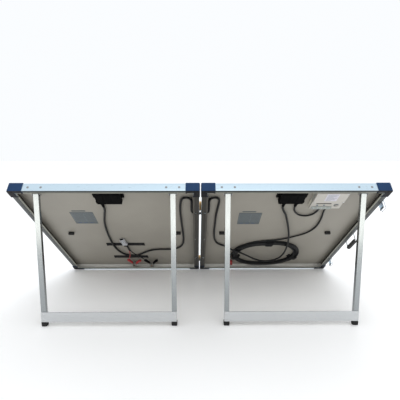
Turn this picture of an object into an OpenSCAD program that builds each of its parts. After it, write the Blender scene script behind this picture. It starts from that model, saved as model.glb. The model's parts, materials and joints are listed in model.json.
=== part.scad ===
// Folding two-panel solar charging kit, standing on its legs, seen from the back along +Y.
// Panel frame: x across from the hinge line, s down the slope from the top edge,
// n out of the back plane (n = 0) towards the glass. place() puts it in the world, +Z up.

/* [Panels] */
// Width of one panel
panel_w = 660; // [600:5:700]
// Length of one panel down the slope
panel_l = 765; // [700:5:800]
// Depth of the frame
frame_t = 30; // [28:1:34]
// Gap between the two frames at the hinge
hinge_gap = 8; // [8:0.5:10]
// Slope of the panels above the ground
tilt = 41; // [36:0.5:46]
// Width of the back flange on the side rails
side_flange = 24; // [20:1:24]
// Width of the back flange on the end rails
end_flange = 18; // [14:1:18]

/* [Cells] */
// Columns of cells
cell_cols = 4; // [4:1:4]
// Rows of half-cut cells
cell_rows = 9; // [8:1:9]
// Width of a cell
cell_w = 156; // [150:1:156]
// Height of a half-cut cell
cell_h = 78; // [74:1:78]

/* [Legs] */
// Distance between the two tubes of one leg frame
leg_spread = 478; // [440:1:480]
// How far each leg frame sits outward of the panel's middle
leg_shift = 1.5; // [0:0.5:4]
// Width of a leg tube
leg_w = 18; // [16:1:18]
// Depth of a leg tube
leg_d = 15; // [12:1:15]
// Outward lean of the opened legs
leg_lean = 1.5; // [0:0.5:4]
// Height of the cross-bar
bar_h = 38; // [30:1:40]

/* [Cables] */
// Diameter of the cable between the panels
link_d = 8.5; // [7:0.5:8.5]
// Diameter of the output lead
lead_d = 7; // [6:0.5:7]
// Diameter of the clip leads
clip_lead_d = 4.5; // [4:0.5:4.5]

/* [Hidden] */
$fn = 48;
wall = 1.6;
lip = 10;
half_gap = hinge_gap / 2;
mid_x = half_gap + panel_w / 2;
edge_x = half_gap + panel_w;
// The laminate: glass, cells and backsheet, held under the front lip
glass_n = frame_t - wall;
glass_t = 3.2;
cell_t = 0.4;
sheet_t = 0.9;
back_n = glass_n - glass_t - cell_t - sheet_t;
// Corner caps
cap_t = 2;
cap_inner = 2.2;
cap_outer = 3.5;
// Fold axis, in front of the lips so that the caps clear each other
fold_n = frame_t + 3;
knuckle_r = 4;
// Leg pivots
pivot_s = 27;
pivot_n = 4;
pivot_bore = 3.2;
leg_mid = mid_x + leg_shift;
leg_x = [leg_mid - leg_spread / 2, leg_mid + leg_spread / 2];
leg_turn = 90 - tilt + leg_lean;
leg_r = leg_d / 2;
foot_h = 17;
foot_wall = 1.6;
foot_d = leg_d + 2 * foot_wall + 0.4;
bar_low = 18;
bar_t = 2.5;
bar_rivet_gap = 20;
rivet_head = 1.3;
// Standing height: the lower caps and the feet touch the ground at z = 0
top_z = panel_l * sin(tilt) + cap_t * (sin(tilt) + cos(tilt));
pivot_z = top_z - pivot_s * sin(tilt) + pivot_n * cos(tilt);
leg_len = (pivot_z - foot_d / 2 * sin(leg_lean)) / cos(leg_lean);
// The origin is the middle of the floor area, so what stands proud at the edges counts
catch_proud = 2.9;
loop_out = 8;
loop_r = 1.2;
latch_out = 7;
shift_x = (catch_proud - latch_out - loop_out - loop_r) / 2;
bar_proud = leg_r + 0.1 + bar_t + rivet_head;
bar_rivet_z = leg_len - bar_low - bar_h / 2 + bar_rivet_gap / 2;
front_reach = pivot_s * cos(tilt) + pivot_n * sin(tilt) - bar_rivet_z * sin(leg_lean)
  - bar_proud * cos(leg_lean);
back_reach = (panel_l + cap_t) * cos(tilt) + (frame_t + cap_t) * sin(tilt);
front_y = -(front_reach + back_reach) / 2;

// Cable routes in the panel frame, [x, s, n]
left_route = [
  [-366, 113, 14], [-366, 130, 14], [-369, 160, 17], [-379, 200, 18.4],
  [-390, 245, 18.4], [-398, 290, 18.4], [-403, 340, 18.4], [-406, 390, 18.4],
  [-407, 440, 18.4], [-406, 490, 18.4], [-401, 535, 18.4], [-390, 575, 18.4],
  [-372, 606, 18.4], [-346, 624, 18.4], [-316, 622, 18.4], [-290, 604, 18.4],
  [-264, 579, 18.4], [-235, 558, 18.4], [-200, 548, 18.4], [-160, 547, 18.4],
  [-122, 541, 18.4], [-95, 520, 18.4], [-80, 485, 18.4], [-75, 440, 18.4],
  [-74, 390, 18.4], [-75, 330, 18.4], [-77, 260, 18.4], [-78, 200, 18.4],
  [-77, 150, 18.4], [-75.5, 124, 18.4], [-71.6, 96, 18.3], [-67, 83.3, 18],
  [-60.6, 76.2, 17.5], [-51.5, 73.5, 17], [-42.25, 76, 16.4], [-35.5, 82.75, 15.8], [-33, 92, 15], [-33, 110, 14], [-33, 140, 12.5],
  [-33, 161, 12], [-30.5, 170.5, 12], [-23.5, 177.5, 12], [-14, 180, 12],
  [-0.2, 180, 12]
];
right_route = [
  [0.2, 180, 12], [14, 180, 12], [23.5, 177.5, 12], [30.5, 170.5, 12], [33, 161, 12],
  [33, 140, 12.5], [33, 110, 14], [33, 92, 15], [35.5, 82.75, 15.8], [42.25, 76, 16.4],
  [51.5, 73.5, 17], [60.75, 76, 17.6], [67.4, 82.9, 18], [69.8, 93, 18.3], [69.6, 120, 18.4],
  [67, 155, 18.4], [64, 200, 18.4], [63, 260, 18.4],
  [62, 320, 18.4], [63, 380, 18.4],
  [67, 430, 18.4], [78, 470, 18.4], [100, 496, 18.4], [116, 505.5, 18.1], [135, 516, 13.2],
  [152, 526, 7.6],
  [170, 536, 4.9], [205, 566, 4.9], [240, 602, 4.9], [275, 638, 4.9],
  [312, 664, 4.9], [350, 668, 4.9], [382, 650, 4.9], [402, 615, 4.9],
  [410, 570, 4.9], [410, 520, 4.9], [405, 460, 4.9], [396, 400, 5.4],
  [382, 335, 8.5], [362, 265, 13], [340, 200, 16.2], [321, 158, 15.6],
  [314, 130, 14], [314, 113, 14]
];
jumper_route = [
  [360, 113, 14], [360, 130, 14], [365, 160, 17], [378, 188, 18], [398, 207, 18],
  [424, 213, 18], [446, 202, 18], [456, 178, 17], [457, 150, 14], [457, 126, 14]
];
output_route = [
  [481, 126, 14], [481, 150, 14], [485, 180, 17], [493, 225, 19], [497, 275, 19],
  [493, 320, 19], [478, 358, 18.6], [453, 386, 18.4], [424, 407, 18.4], [394, 425, 18.4],
  [362, 440, 18.4], [325, 450, 18.4], [285, 457, 18.8], [250, 470, 19.5], [216, 494, 20]
];
tail_route = [
  [167, 566, 13], [157, 588, 13.1], [151, 612, 13.8], [150, 640, 15], [153, 664, 16],
  [158, 686, 16]
];
red_route = [
  [-347, 498, 16], [-345, 516, 16], [-342.5, 540, 14.5], [-341.5, 565, 12.5], [-343.5, 592, 11],
  [-349, 618, 10], [-356, 640, 9.4], [-361, 656, 9.3], [-360, 666, 9.3], [-356.4, 675, 9.3]
];
black_route = [
  [-341, 497, 16], [-339, 516, 16], [-335, 542, 14.5], [-326, 572, 12.5], [-311, 601, 11],
  [-296, 626, 10], [-284, 646, 9.5], [-277.5, 661, 9.3], [-274, 669, 9.3], [-269.8, 678, 9.3]
];

// Coil of the output lead: a ring with straight stretches, lying under the panel cable
coil_c = [325, 604];
coil_r = 142;
coil_straight = 50;
coil_band = 29.2;
coil_n = [9.4, 23.5];

module place() translate([shift_x, front_y, top_z]) rotate([-tilt, 0, 0]) children();

// Draws its children on the right panel, or mirrored on the left one
module side(dir) place() mirror([dir < 0 ? 1 : 0, 0, 0]) children();

module slab(lo, hi) translate(lo) cube(hi - lo);

module rrect(w, h, r) {
  square([w - 2 * r, h], center = true);
  square([w, h - 2 * r], center = true);
  for (i = [-1, 1], j = [-1, 1]) translate([i * (w / 2 - r), j * (h / 2 - r)]) circle(r);
}

// Rail section: u inwards from the outer face, n up
module rail_section(flange) {
  polygon([
    [0, 0], [flange, 0], [flange, wall], [wall, wall], [wall, back_n - 1.8],
    [lip, back_n - 1.8], [lip, back_n - 0.2], [wall, back_n - 0.2],
    [wall, frame_t - wall], [lip, frame_t - wall], [lip, frame_t], [0, frame_t]
  ]);
}

// One rail along +y, its outer face at x = 0, mitred at both ends
module rail(length, flange) {
  intersection() {
    translate([0, length, 0]) rotate([90, 0, 0]) linear_extrude(length) rail_section(flange);
    linear_extrude(frame_t)
      polygon([[0, 0], [flange + 4, flange + 4], [flange + 4, length - flange - 4], [0, length]]);
  }
}

module side_rails(dir) color("#d9e4e6") side(dir) {
  translate([half_gap, 0, 0]) difference() {
    rail(panel_l, side_flange);
    translate([-1, 180, 12]) rotate([0, 90, 0]) cylinder(r = 6, h = wall + 2);
    for (s = [157, 606]) translate([14, s, -1]) cylinder(r = 3.5, h = wall + 2);
  }
  translate([edge_x, panel_l, 0]) rotate([0, 0, 180]) difference() {
    rail(panel_l, side_flange);
    for (s = [157, 606]) translate([14, s, -1]) cylinder(r = 3.5, h = wall + 2);
  }
}

module end_rails(dir) color("#dde7e8") side(dir) {
  difference() {
    translate([edge_x, 0, 0]) rotate([0, 0, 90]) rail(panel_w, end_flange);
    for (x = leg_x, k = [-1, 1]) translate([x + k * 22.5, 0, 14]) rotate([90, 0, 0])
      cylinder(r = 2.1, h = 3 * wall, center = true);
  }
  translate([half_gap, panel_l, 0]) rotate([0, 0, -90]) rail(panel_w, end_flange);
}

edge_in = wall + 0.4;
module glass(dir) color("#1b2350", 0.6) side(dir)
  slab([half_gap + edge_in, edge_in, glass_n - glass_t], [edge_x - edge_in, panel_l - edge_in, glass_n]);

module cells(dir) {
  px = cell_w + 2;
  py = cell_h + 2;
  top = glass_n - glass_t;
  color("#14184a") side(dir) for (i = [0:cell_cols - 1], j = [0:cell_rows - 1])
    translate([mid_x + (i - (cell_cols - 1) / 2) * px, panel_l / 2 + (j - (cell_rows - 1) / 2) * py,
      top - cell_t])
      linear_extrude(cell_t) polygon([
        [-cell_w / 2 + 7, -cell_h / 2], [cell_w / 2 - 7, -cell_h / 2], [cell_w / 2, -cell_h / 2 + 7],
        [cell_w / 2, cell_h / 2], [-cell_w / 2, cell_h / 2], [-cell_w / 2, -cell_h / 2 + 7]
      ]);
}

module backsheet(dir) color("#8f8b82") side(dir)
  slab([half_gap + edge_in, edge_in, back_n], [edge_x - edge_in, panel_l - edge_in, back_n + sheet_t]);

// Corner cap in corner axes: a along the end rail, b along the side rail
cap_a = 48;
cap_b = 40;
module cap_outline(a, b, wide) polygon([
  [0, 0], [a, 0], [a, wide + 4], [a - 5, wide + 4], [a - 5, wide], [wide + 6, wide],
  [wide + 6, b - 5], [wide + 10, b - 5], [wide + 10, b], [0, b]
]);
module cap(out) {
  difference() {
    translate([-out, -cap_t, -cap_t]) linear_extrude(frame_t + 2 * cap_t) union() {
      translate([6, 6]) intersection() { circle(6); translate([-6, -6]) square(6); }
      translate([6, 0]) square([cap_a + out - 6, cap_t]);
      translate([0, 6]) square([out, cap_b + cap_t - 6]);
      translate([0, 6]) square([6, 0.01]);
    }
    slab([0, 0, -9], [cap_a + 9, cap_b + 9, frame_t + 9]);
  }
  translate([0, 0, -cap_t]) linear_extrude(cap_t) cap_outline(cap_a, cap_b, 13);
  translate([0, 0, frame_t]) linear_extrude(cap_t) difference() {
    square([cap_a, cap_b]);
    translate([lip, lip]) square([cap_a, cap_b]);
  }
}
module corner_caps(dir) color("#28384f") side(dir) {
  translate([half_gap, 0, 0]) cap(cap_inner);
  translate([edge_x, 0, 0]) mirror([1, 0, 0]) cap(cap_outer);
  translate([half_gap, panel_l, 0]) mirror([0, 1, 0]) cap(cap_inner);
  translate([edge_x, panel_l, 0]) mirror([1, 0, 0]) mirror([0, 1, 0]) cap(cap_outer);
}

// Junction box: base with two ears and its glands, and a clipped lid
box_w = 90;
box_l = 72;
box_s = [26, 98];
box_n = 5;
module gland(x) translate([x, box_s[1] - 1, 14]) rotate([-90, 0, 0]) {
  cylinder(r = 5.9, h = 8);
  cylinder(r = 5.2, h = 16);
}
module junction_box(dir, outlets) color("#17181a") side(dir) difference() {
  union() {
    slab([mid_x - box_w / 2, box_s[0], box_n + 3], [mid_x + box_w / 2, box_s[1], back_n - 0.1]);
    for (k = [-1, 1]) slab([mid_x + k * 50 - 6, 50, 18], [mid_x + k * 50 + 6, 74, back_n - 0.1]);
    for (x = outlets) gland(x);
  }
  slab([mid_x - box_w / 2 + 2, box_s[0] + 2, box_n], [mid_x + box_w / 2 - 2, box_s[1] - 2, back_n - 2]);
}
module junction_lid(dir) color("#202124") side(dir) {
  slab([mid_x - box_w / 2, box_s[0], box_n - 1], [mid_x + box_w / 2, box_s[1], box_n + 2.9]);
  for (x = [mid_x - 27, mid_x, mid_x + 27])
    slab([x - 10, box_s[0] + 12, box_n - 2], [x + 10, box_s[1] - 12, box_n - 1]);
}

module rating_plate(x, s) color("#7d8a94") place()
  slab([x - 46, s, back_n - 0.5], [x + 46, s + 97, back_n - 0.1]);

// Leg pivots: a folded bracket riveted inside the top rail, and a bolt
ear_gap = leg_w / 2 + 0.8;
ear_t = 2;
module leg_brackets(dir) color("#141516") side(dir) for (x = leg_x) translate([x, 0, 0]) {
  difference() {
    union() {
      slab([-30, wall + 0.1, 5], [30, wall + 2.1, 20]);
      for (k = [-1, 1]) translate([k * (ear_gap + ear_t / 2) - ear_t / 2, 0, 0]) {
        slab([0, wall + 2, 5], [ear_t, pivot_s, 11]);
        translate([0, pivot_s, pivot_n]) rotate([0, 90, 0]) cylinder(r = 7, h = ear_t);
      }
    }
    translate([-20, pivot_s, pivot_n]) rotate([0, 90, 0]) cylinder(r = pivot_bore, h = 40);
  }
  for (k = [-1, 1]) translate([k * 22.5, 0, 14]) rotate([90, 0, 0]) {
    cylinder(r1 = 4, r2 = 2.6, h = 1.5);
    translate([0, 0, -wall - 2.1]) cylinder(r = 2, h = wall + 2.1);
    translate([0, 0, -wall - 3.5]) cylinder(r = 3, h = 1.4);
  }
}

module leg_pivots(dir) color("#3a3a3a") side(dir) for (x = leg_x)
  translate([x, pivot_s, pivot_n]) rotate([0, 90, 0]) {
    translate([0, 0, -ear_gap - 4.6]) cylinder(r = 5, h = 2.5);
    translate([0, 0, -ear_gap - 2.1]) cylinder(r = 3, h = 2 * ear_gap + 5);
    translate([0, 0, ear_gap + 2.1]) cylinder(r = 5, h = 4, $fn = 6);
  }

module leg_pads(dir) color("#101010") side(dir) for (x = [leg_x[0], leg_x[1] - 11])
  translate([x, 369, 12]) linear_extrude(back_n - 12.1) rrect(24, 12, 3);

// Leg axes: x across, y out of the leg's outer face, z down the leg from its pivot
module on_leg(dir) side(dir) translate([0, pivot_s, pivot_n])
  rotate([90 - leg_turn, 0, 0]) mirror([0, 0, 1]) children();
module leg_tubes(dir) color("#e6e4dc") on_leg(dir) for (x = leg_x) translate([x, 0, 0])
  difference() {
    union() {
      translate([-leg_w / 2, -leg_r, 0]) cube([leg_w, leg_d, leg_len - 1.5]);
      rotate([0, 90, 0]) translate([0, 0, -leg_w / 2]) cylinder(r = leg_r, h = leg_w);
    }
    translate([-leg_w / 2 + 1.5, -leg_r + 1.5, 12]) cube([leg_w - 3, leg_d - 3, leg_len]);
    translate([0, 0, 0]) rotate([0, 90, 0]) cylinder(r = pivot_bore, h = 40, center = true);
  }

module leg_crossbar(dir) color("#c2c4c6") on_leg(dir) {
  difference() {
    translate([leg_mid, -leg_r - 0.1, leg_len - bar_low - bar_h / 2]) rotate([90, 0, 0])
      linear_extrude(bar_t) rrect(leg_spread + leg_w, bar_h, 2);
    for (x = leg_x, k = [-1, 1]) translate([x, 0, leg_len - bar_low - bar_h / 2 + k * bar_rivet_gap / 2])
      rotate([90, 0, 0]) cylinder(r = 2.1, h = 20);
  }
  for (x = leg_x, k = [-1, 1]) translate([x, 0, leg_len - bar_low - bar_h / 2 + k * bar_rivet_gap / 2])
    rotate([90, 0, 0]) {
      translate([0, 0, leg_r + bar_t + 0.1]) cylinder(r1 = 4, r2 = 2.6, h = rivet_head);
      translate([0, 0, leg_r + 0.1]) cylinder(r = 2, h = bar_t + 0.2);
    }
}

module leg_feet(dir) color("#151515") on_leg(dir) for (x = leg_x)
  translate([x, 0, leg_len - foot_h]) difference() {
    linear_extrude(foot_h) rrect(leg_w + 2 * foot_wall + 0.4, foot_d, 4);
    translate([0, 0, -1]) linear_extrude(foot_h - 0.4) square([leg_w + 0.2, leg_d + 0.2], center = true);
  }

// Hinges: leaves on the facing walls, knuckles on the fold axis, one pin each
hinge_s = [160, 694];
hinge_l = 60;
knuckles = 6;
module leaf(dir, first) side(dir) for (s = hinge_s) difference() {
  union() {
    slab([half_gap - 1.7, s - hinge_l / 2, 18.4], [half_gap - 0.1, s + hinge_l / 2, frame_t - 1.1]);
    for (i = [first:2:knuckles - 1]) {
      from = s - hinge_l / 2 + i * hinge_l / knuckles + 0.2;
      size = hinge_l / knuckles - 0.4;
      translate([0, from, fold_n]) rotate([-90, 0, 0]) cylinder(r = knuckle_r, h = size);
      slab([half_gap - 1.7, from, frame_t - 2], [half_gap - 0.5, from + size, fold_n]);
    }
  }
  translate([0, s - hinge_l, fold_n]) rotate([-90, 0, 0]) cylinder(r = 2.1, h = 2 * hinge_l);
}
module hinge_pins() color("#b58a4a") place() for (s = hinge_s)
  translate([0, s - hinge_l / 2 - 1, fold_n]) rotate([-90, 0, 0]) cylinder(r = 2, h = hinge_l + 2);

// Charge controller on the right panel
ctl = [412, 527];
ctl_s = [22, 132];
ctl_step = 84;
module controller_body() color("#dad8cf") place() difference() {
  slab([ctl[0], ctl_s[0], 9], [ctl[1], ctl_s[1], back_n - 0.1]);
  slab([ctl[0] + 2, ctl_s[0] + 2, 5], [ctl[1] - 2, ctl_s[1] - 12, back_n - 2]);
  for (x = [457, 481]) translate([x, ctl_s[1] - 14, 14]) rotate([-90, 0, 0]) cylinder(r = 4.5, h = 40);
}
module controller_cover() color("#efeee8") place() difference() {
  union() {
    slab([ctl[0], ctl_s[0], 0], [ctl[1], ctl_step, 8.9]);
    slab([ctl[0], ctl_step, 5], [ctl[1], ctl_s[1], 8.9]);
  }
  translate([ctl[1] - 20, ctl_step + 24, 0]) cylinder(r = 7.2, h = 20);
  slab([ctl[0] + 3, ctl_s[0] + 3, 2], [ctl[1] - 3, ctl_step - 3, 12]);
}
module controller_terminals() color("#2c5f50") place() {
  difference() {
    slab([ctl[0] + 6, ctl_s[1] - 16, 0.5], [ctl[1] - 36, ctl_s[1] - 2, 4.9]);
    for (i = [0:4]) translate([ctl[0] + 14 + i * 15, ctl_s[1] - 9, -1]) cylinder(r = 3.6, h = 3.5);
  }
  for (i = [0:4]) translate([ctl[0] + 14 + i * 15, ctl_s[1] - 9, 1.2]) difference() {
    cylinder(r = 3, h = 1.2);
    translate([-3, -0.5, -0.1]) cube([6, 1, 0.6]);
  }
}
module controller_button() color("#26282b") place() translate([ctl[1] - 20, ctl_step + 24, 2]) {
  cylinder(r = 6.6, h = 6.5);
  translate([0, 0, 9.2]) cylinder(r = 4, h = 4);
  translate([0, 0, 6]) cylinder(r = 2, h = 4);
}

// A tube swept along its route, one ring at each point
function ring(p, t, r, sides) = let (across = cross([0, 0, 1], t) / norm(cross([0, 0, 1], t)),
  up = cross(t, across)) [for (k = [0:sides - 1]) p + r * (cos(360 * k / sides) * across
    + sin(360 * k / sides) * up)];
function heading(route, i) = let (a = route[max(i - 1, 0)], b = route[min(i + 1, len(route) - 1)])
  (b - a) / norm(b - a);
module tube(route, d, sides = 8) {
  last = len(route) - 1;
  rings = [for (i = [0:last]) each ring(route[i], heading(route, i), d / 2, sides)];
  walls = [for (i = [0:last - 1], k = [0:sides - 1]) [i * sides + k, (i + 1) * sides + k,
    (i + 1) * sides + (k + 1) % sides, i * sides + (k + 1) % sides]];
  ends = [[for (k = [0:sides - 1]) k], [for (k = [sides - 1:-1:0]) last * sides + k]];
  polyhedron(rings, concat(walls, ends));
}
module panel_cable_left() color("#161719") place() tube(left_route, link_d);
module panel_cable_right() color("#161719") place() tube(right_route, link_d);
module controller_jumper() color("#161719") place() tube(jumper_route, lead_d);
module output_lead() color("#1b1c1e") place() tube(output_route, lead_d);
module red_clip_lead() color("#a3201c") place() tube(red_route, clip_lead_d);
module black_clip_lead() color("#161616") place() tube(black_route, clip_lead_d);

module stadium(r, straight) {
  square([straight, 2 * r], center = true);
  for (k = [-1, 1]) translate([k * straight / 2, 0]) circle(r);
}
module output_coil() color("#1b1c1e") place() translate([coil_c[0], coil_c[1], coil_n[0]])
  linear_extrude(coil_n[1] - coil_n[0]) difference() {
    stadium(coil_r, coil_straight);
    stadium(coil_r - coil_band, coil_straight);
  }

module output_tail() color("#1b1c1e") place() tube(tail_route, lead_d);

module output_connector() color("#7d1b18") place() translate([163.4, 715.5, 9.5]) rotate([0, 0, -100]) {
  slab([-22, -8, 0], [22, 8, 13]);
  translate([22, 0, 6.5]) rotate([0, 90, 0]) cylinder(r = 3.6, h = 8);
}

// A strap over something: a band with two feet on the backsheet
module strap(at, turn, span, wide, top_n, t = 1.2) translate([at[0], at[1], 0]) rotate([0, 0, turn])
  difference() {
    union() {
      slab([-span / 2, -wide / 2, top_n], [span / 2, wide / 2, back_n - 0.1]);
      slab([-span / 2 - 10, -wide / 2, back_n - 1.3], [span / 2 + 10, wide / 2, back_n - 0.1]);
    }
    slab([-span / 2 + t, -wide, top_n + t], [span / 2 - t, wide, back_n + 1]);
  }
coil_mid = coil_r - coil_band / 2;
module coil_straps() color("#1a1a1c") place() {
  strap([325, coil_c[1] - coil_mid], 90, coil_band + 6, 36, coil_n[0] - 1.7);
  for (k = [-1, 1]) strap([coil_c[0] + k * (coil_straight / 2 + coil_mid * cos(18)),
    coil_c[1] + coil_mid * sin(18)], k * 18, coil_band + 6, 30, coil_n[0] - 1.7);
}
// Two open bands lie flat on the backsheet, their ends rolled up
module open_band(x0, x1, s, wide) {
  slab([x0, s - wide / 2, back_n - 1], [x1, s + wide / 2, back_n - 0.1]);
  for (x = [x0, x1]) translate([x, s - wide / 2, back_n - 2.3]) rotate([-90, 0, 0])
    cylinder(r = 2.2, h = wide);
}
module cable_straps() color("#1a1a1c") place() {
  open_band(-436, -262, 497, 32);
  open_band(-432, -265, 650, 32);
}

module clip_connector() color("#9a9ca0") place() translate([-350, 464, 0]) rotate([0, 0, -10]) {
  slab([-10.5, -34, 10], [10.5, 8, 22]);
  slab([-12.5, 8, 9], [12.5, 18, 22.4]);
  slab([-9.5, 18, 10.5], [9.5, 34, 22]);
}

// Battery clip in its own axes: u towards the jaw tip, v across, n the thickness
clip_n = [3.6, 15.1];
module clip_half() difference() {
  polygon([
    [-52, 23], [-52, 36], [-44, 36], [-14, 18.5], [10, 12], [34, 6], [45, 8], [47, 0.8],
    [40, 0.8], [30, 2.2], [12, 6.8], [-10, 8.4], [-16, 9.5]
  ]);
  circle(6.6);
}
module clip_jaw(at, turn, mirrored, layers) place() translate([at[0], at[1], 0]) rotate([0, 0, 90 + turn])
  mirror([0, mirrored, 0]) {
    translate([0, 0, clip_n[0]]) linear_extrude(clip_n[1] - clip_n[0]) clip_half();
    for (l = layers) translate([0, 0, l[0]]) linear_extrude(l[1] - l[0]) {
      circle(6);
      translate([-5, 0]) square([9, 9]);
    }
    children();
  }
outer_layers = [[clip_n[0], clip_n[0] + 3], [clip_n[1] - 3, clip_n[1]]];
inner_layers = [[clip_n[0] + 3.4, clip_n[1] - 3.4]];
red_at = [-341, 712];
black_at = [-250, 713];
module clip_pin() translate([0, 0, clip_n[0]]) cylinder(r = 2, h = clip_n[1] - clip_n[0]);
module fixed_jaw(at, turn) clip_jaw(at, turn, 0, outer_layers) clip_pin();
module moving_jaw(at, turn) difference() {
  clip_jaw(at, turn, 1, inner_layers);
  place() translate([at[0], at[1], 0]) cylinder(r = 2.2, h = 40);
}

// Carrying handle on the outer side of the right panel, hanging
handle_s = 395;
handle_span = 100;
handle_n = 11;
handle_out = 6;
handle_drop = 36;
handle_wire = 2.5;
module handle_brackets() color("#b9bbbd") place() for (k = [-1, 1])
  translate([edge_x, handle_s + k * handle_span / 2, handle_n]) difference() {
    union() {
      slab([0.1, -14, -8], [1.7, 14, 8]);
      translate([handle_out, -5, 0]) rotate([-90, 0, 0]) cylinder(r = 4.4, h = 10);
      slab([0.1, -5, -4.4], [handle_out, 5, 4.4]);
    }
    translate([handle_out, -20, 0]) rotate([-90, 0, 0]) cylinder(r = handle_wire + 0.2, h = 40);
  }
module handle_bail() color("#c4c6c8") place() translate([edge_x + handle_out, handle_s, handle_n])
  for (k = [-1, 1]) mirror([0, k < 0 ? 1 : 0, 0]) {
    translate([0, handle_span / 2 - 8, 0]) rotate([-90, 0, 0]) cylinder(r = handle_wire, h = 16);
    translate([0, handle_span / 2 - 8, 0]) sphere(handle_wire);
    translate([0, handle_span / 2 - 8, -handle_drop]) cylinder(r = handle_wire, h = handle_drop);
    translate([0, handle_span / 2 - 8, -handle_drop]) sphere(handle_wire);
    translate([0, 0, -handle_drop]) rotate([-90, 0, 0]) cylinder(r = handle_wire, h = handle_span / 2 - 8);
  }
module handle_grip() color("#141414") place()
  translate([edge_x + handle_out, handle_s, handle_n - handle_drop]) rotate([-90, 0, 0]) difference() {
    cylinder(r = 9, h = handle_span - 24, center = true);
    cylinder(r = handle_wire + 0.1, h = handle_span, center = true);
  }

// Toggle latches on the same side, open and hanging, and their catches on the other panel
latch_s = [104, 676];
latch_n = 20;
module latch_bases() color("#b4b6b8") place() for (s = latch_s) translate([edge_x, s, latch_n])
  difference() {
    union() {
      slab([0.1, -17, -12], [1.7, 17, 7]);
      for (k = [-1, 1]) translate([0, k * 15.5 - 1, 0]) {
        slab([0.1, 0, -4], [latch_out, 2, 4]);
        translate([latch_out, 0, 0]) rotate([-90, 0, 0]) cylinder(r = 4, h = 2);
      }
    }
    translate([latch_out, -30, 0]) rotate([-90, 0, 0]) cylinder(r = 1.7, h = 60);
  }
module latch_lever(s) color("#c8cacc") place() translate([edge_x + latch_out, s, latch_n]) {
  translate([0, -17, 0]) rotate([-90, 0, 0]) cylinder(r = 1.5, h = 34);
  translate([0, -13, 0]) rotate([-90, 0, 0]) cylinder(r = 3.4, h = 26);
  slab([1.4, -13.5, -32], [3.2, 13.5, 0]);
  slab([0.2, -13.5, -36], [3.2, 13.5, -31.8]);
  for (k = [-1, 1]) mirror([0, k < 0 ? 1 : 0, 0]) {
    slab([1.8, 11.6, -9], [loop_out + 2, 13.2, -3]);
    translate([loop_out, 12.4, -6]) rotate([-90, 0, 0]) cylinder(r = loop_r, h = 2.6);
    translate([loop_out, 15, -6]) sphere(loop_r);
    translate([loop_out, 15, -38]) cylinder(r = loop_r, h = 32);
    translate([loop_out, 15, -38]) sphere(loop_r);
    translate([loop_out, 0, -38]) rotate([-90, 0, 0]) cylinder(r = loop_r, h = 15);
  }
}
module latch_catches() color("#b4b6b8") place() for (s = latch_s)
  translate([-edge_x, s, latch_n]) {
    slab([-1.7, -14, -10], [-0.1, 14, 8]);
    slab([-2.6, -11, -8], [-1.6, 11, -5]);
    slab([-catch_proud, -11, -8], [-2.1, 11, -2]);
  }

side_rails(-1);  // left_side_rails
end_rails(-1);  // left_end_rails
glass(-1);  // left_glass
cells(-1);  // left_cells
backsheet(-1);  // left_backsheet
corner_caps(-1);  // left_corner_caps
junction_box(-1, [366]);  // left_junction_box
junction_lid(-1);  // left_junction_lid
rating_plate(-471, 190);  // left_rating_plate
leg_brackets(-1);  // left_leg_brackets
leg_pivots(-1);  // left_leg_pivots
leg_pads(-1);  // left_leg_pads
color("#9c8a63") leaf(-1, 0);  // left_hinge_leaves
leg_tubes(-1);  // left_leg_tubes
leg_crossbar(-1);  // left_leg_crossbar
leg_feet(-1);  // left_leg_feet
side_rails(1);  // right_side_rails
end_rails(1);  // right_end_rails
glass(1);  // right_glass
cells(1);  // right_cells
backsheet(1);  // right_backsheet
corner_caps(1);  // right_corner_caps
junction_box(1, [314, 360]);  // right_junction_box
junction_lid(1);  // right_junction_lid
rating_plate(202, 198);  // right_rating_plate
leg_brackets(1);  // right_leg_brackets
leg_pivots(1);  // right_leg_pivots
leg_pads(1);  // right_leg_pads
color("#9c8a63") leaf(1, 1);  // right_hinge_leaves
leg_tubes(1);  // right_leg_tubes
leg_crossbar(1);  // right_leg_crossbar
leg_feet(1);  // right_leg_feet
hinge_pins();
controller_body();
controller_cover();
controller_terminals();
controller_button();
panel_cable_left();
panel_cable_right();
controller_jumper();
output_lead();
output_coil();
output_tail();
output_connector();
coil_straps();
cable_straps();
clip_connector();
red_clip_lead();
black_clip_lead();
color("#a3201c") fixed_jaw(red_at, 9);  // red_clip_fixed_jaw
color("#b02a22") moving_jaw(red_at, 9);  // red_clip_moving_jaw
color("#161616") fixed_jaw(black_at, 2);  // black_clip_fixed_jaw
color("#202020") moving_jaw(black_at, 2);  // black_clip_moving_jaw
handle_brackets();
handle_bail();
handle_grip();
latch_bases();
latch_lever(latch_s[0]);  // upper_latch_lever
latch_lever(latch_s[1]);  // lower_latch_lever
latch_catches();
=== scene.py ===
import json
import math

import bmesh
import bpy
from mathutils import Matrix, Vector, noise


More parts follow.
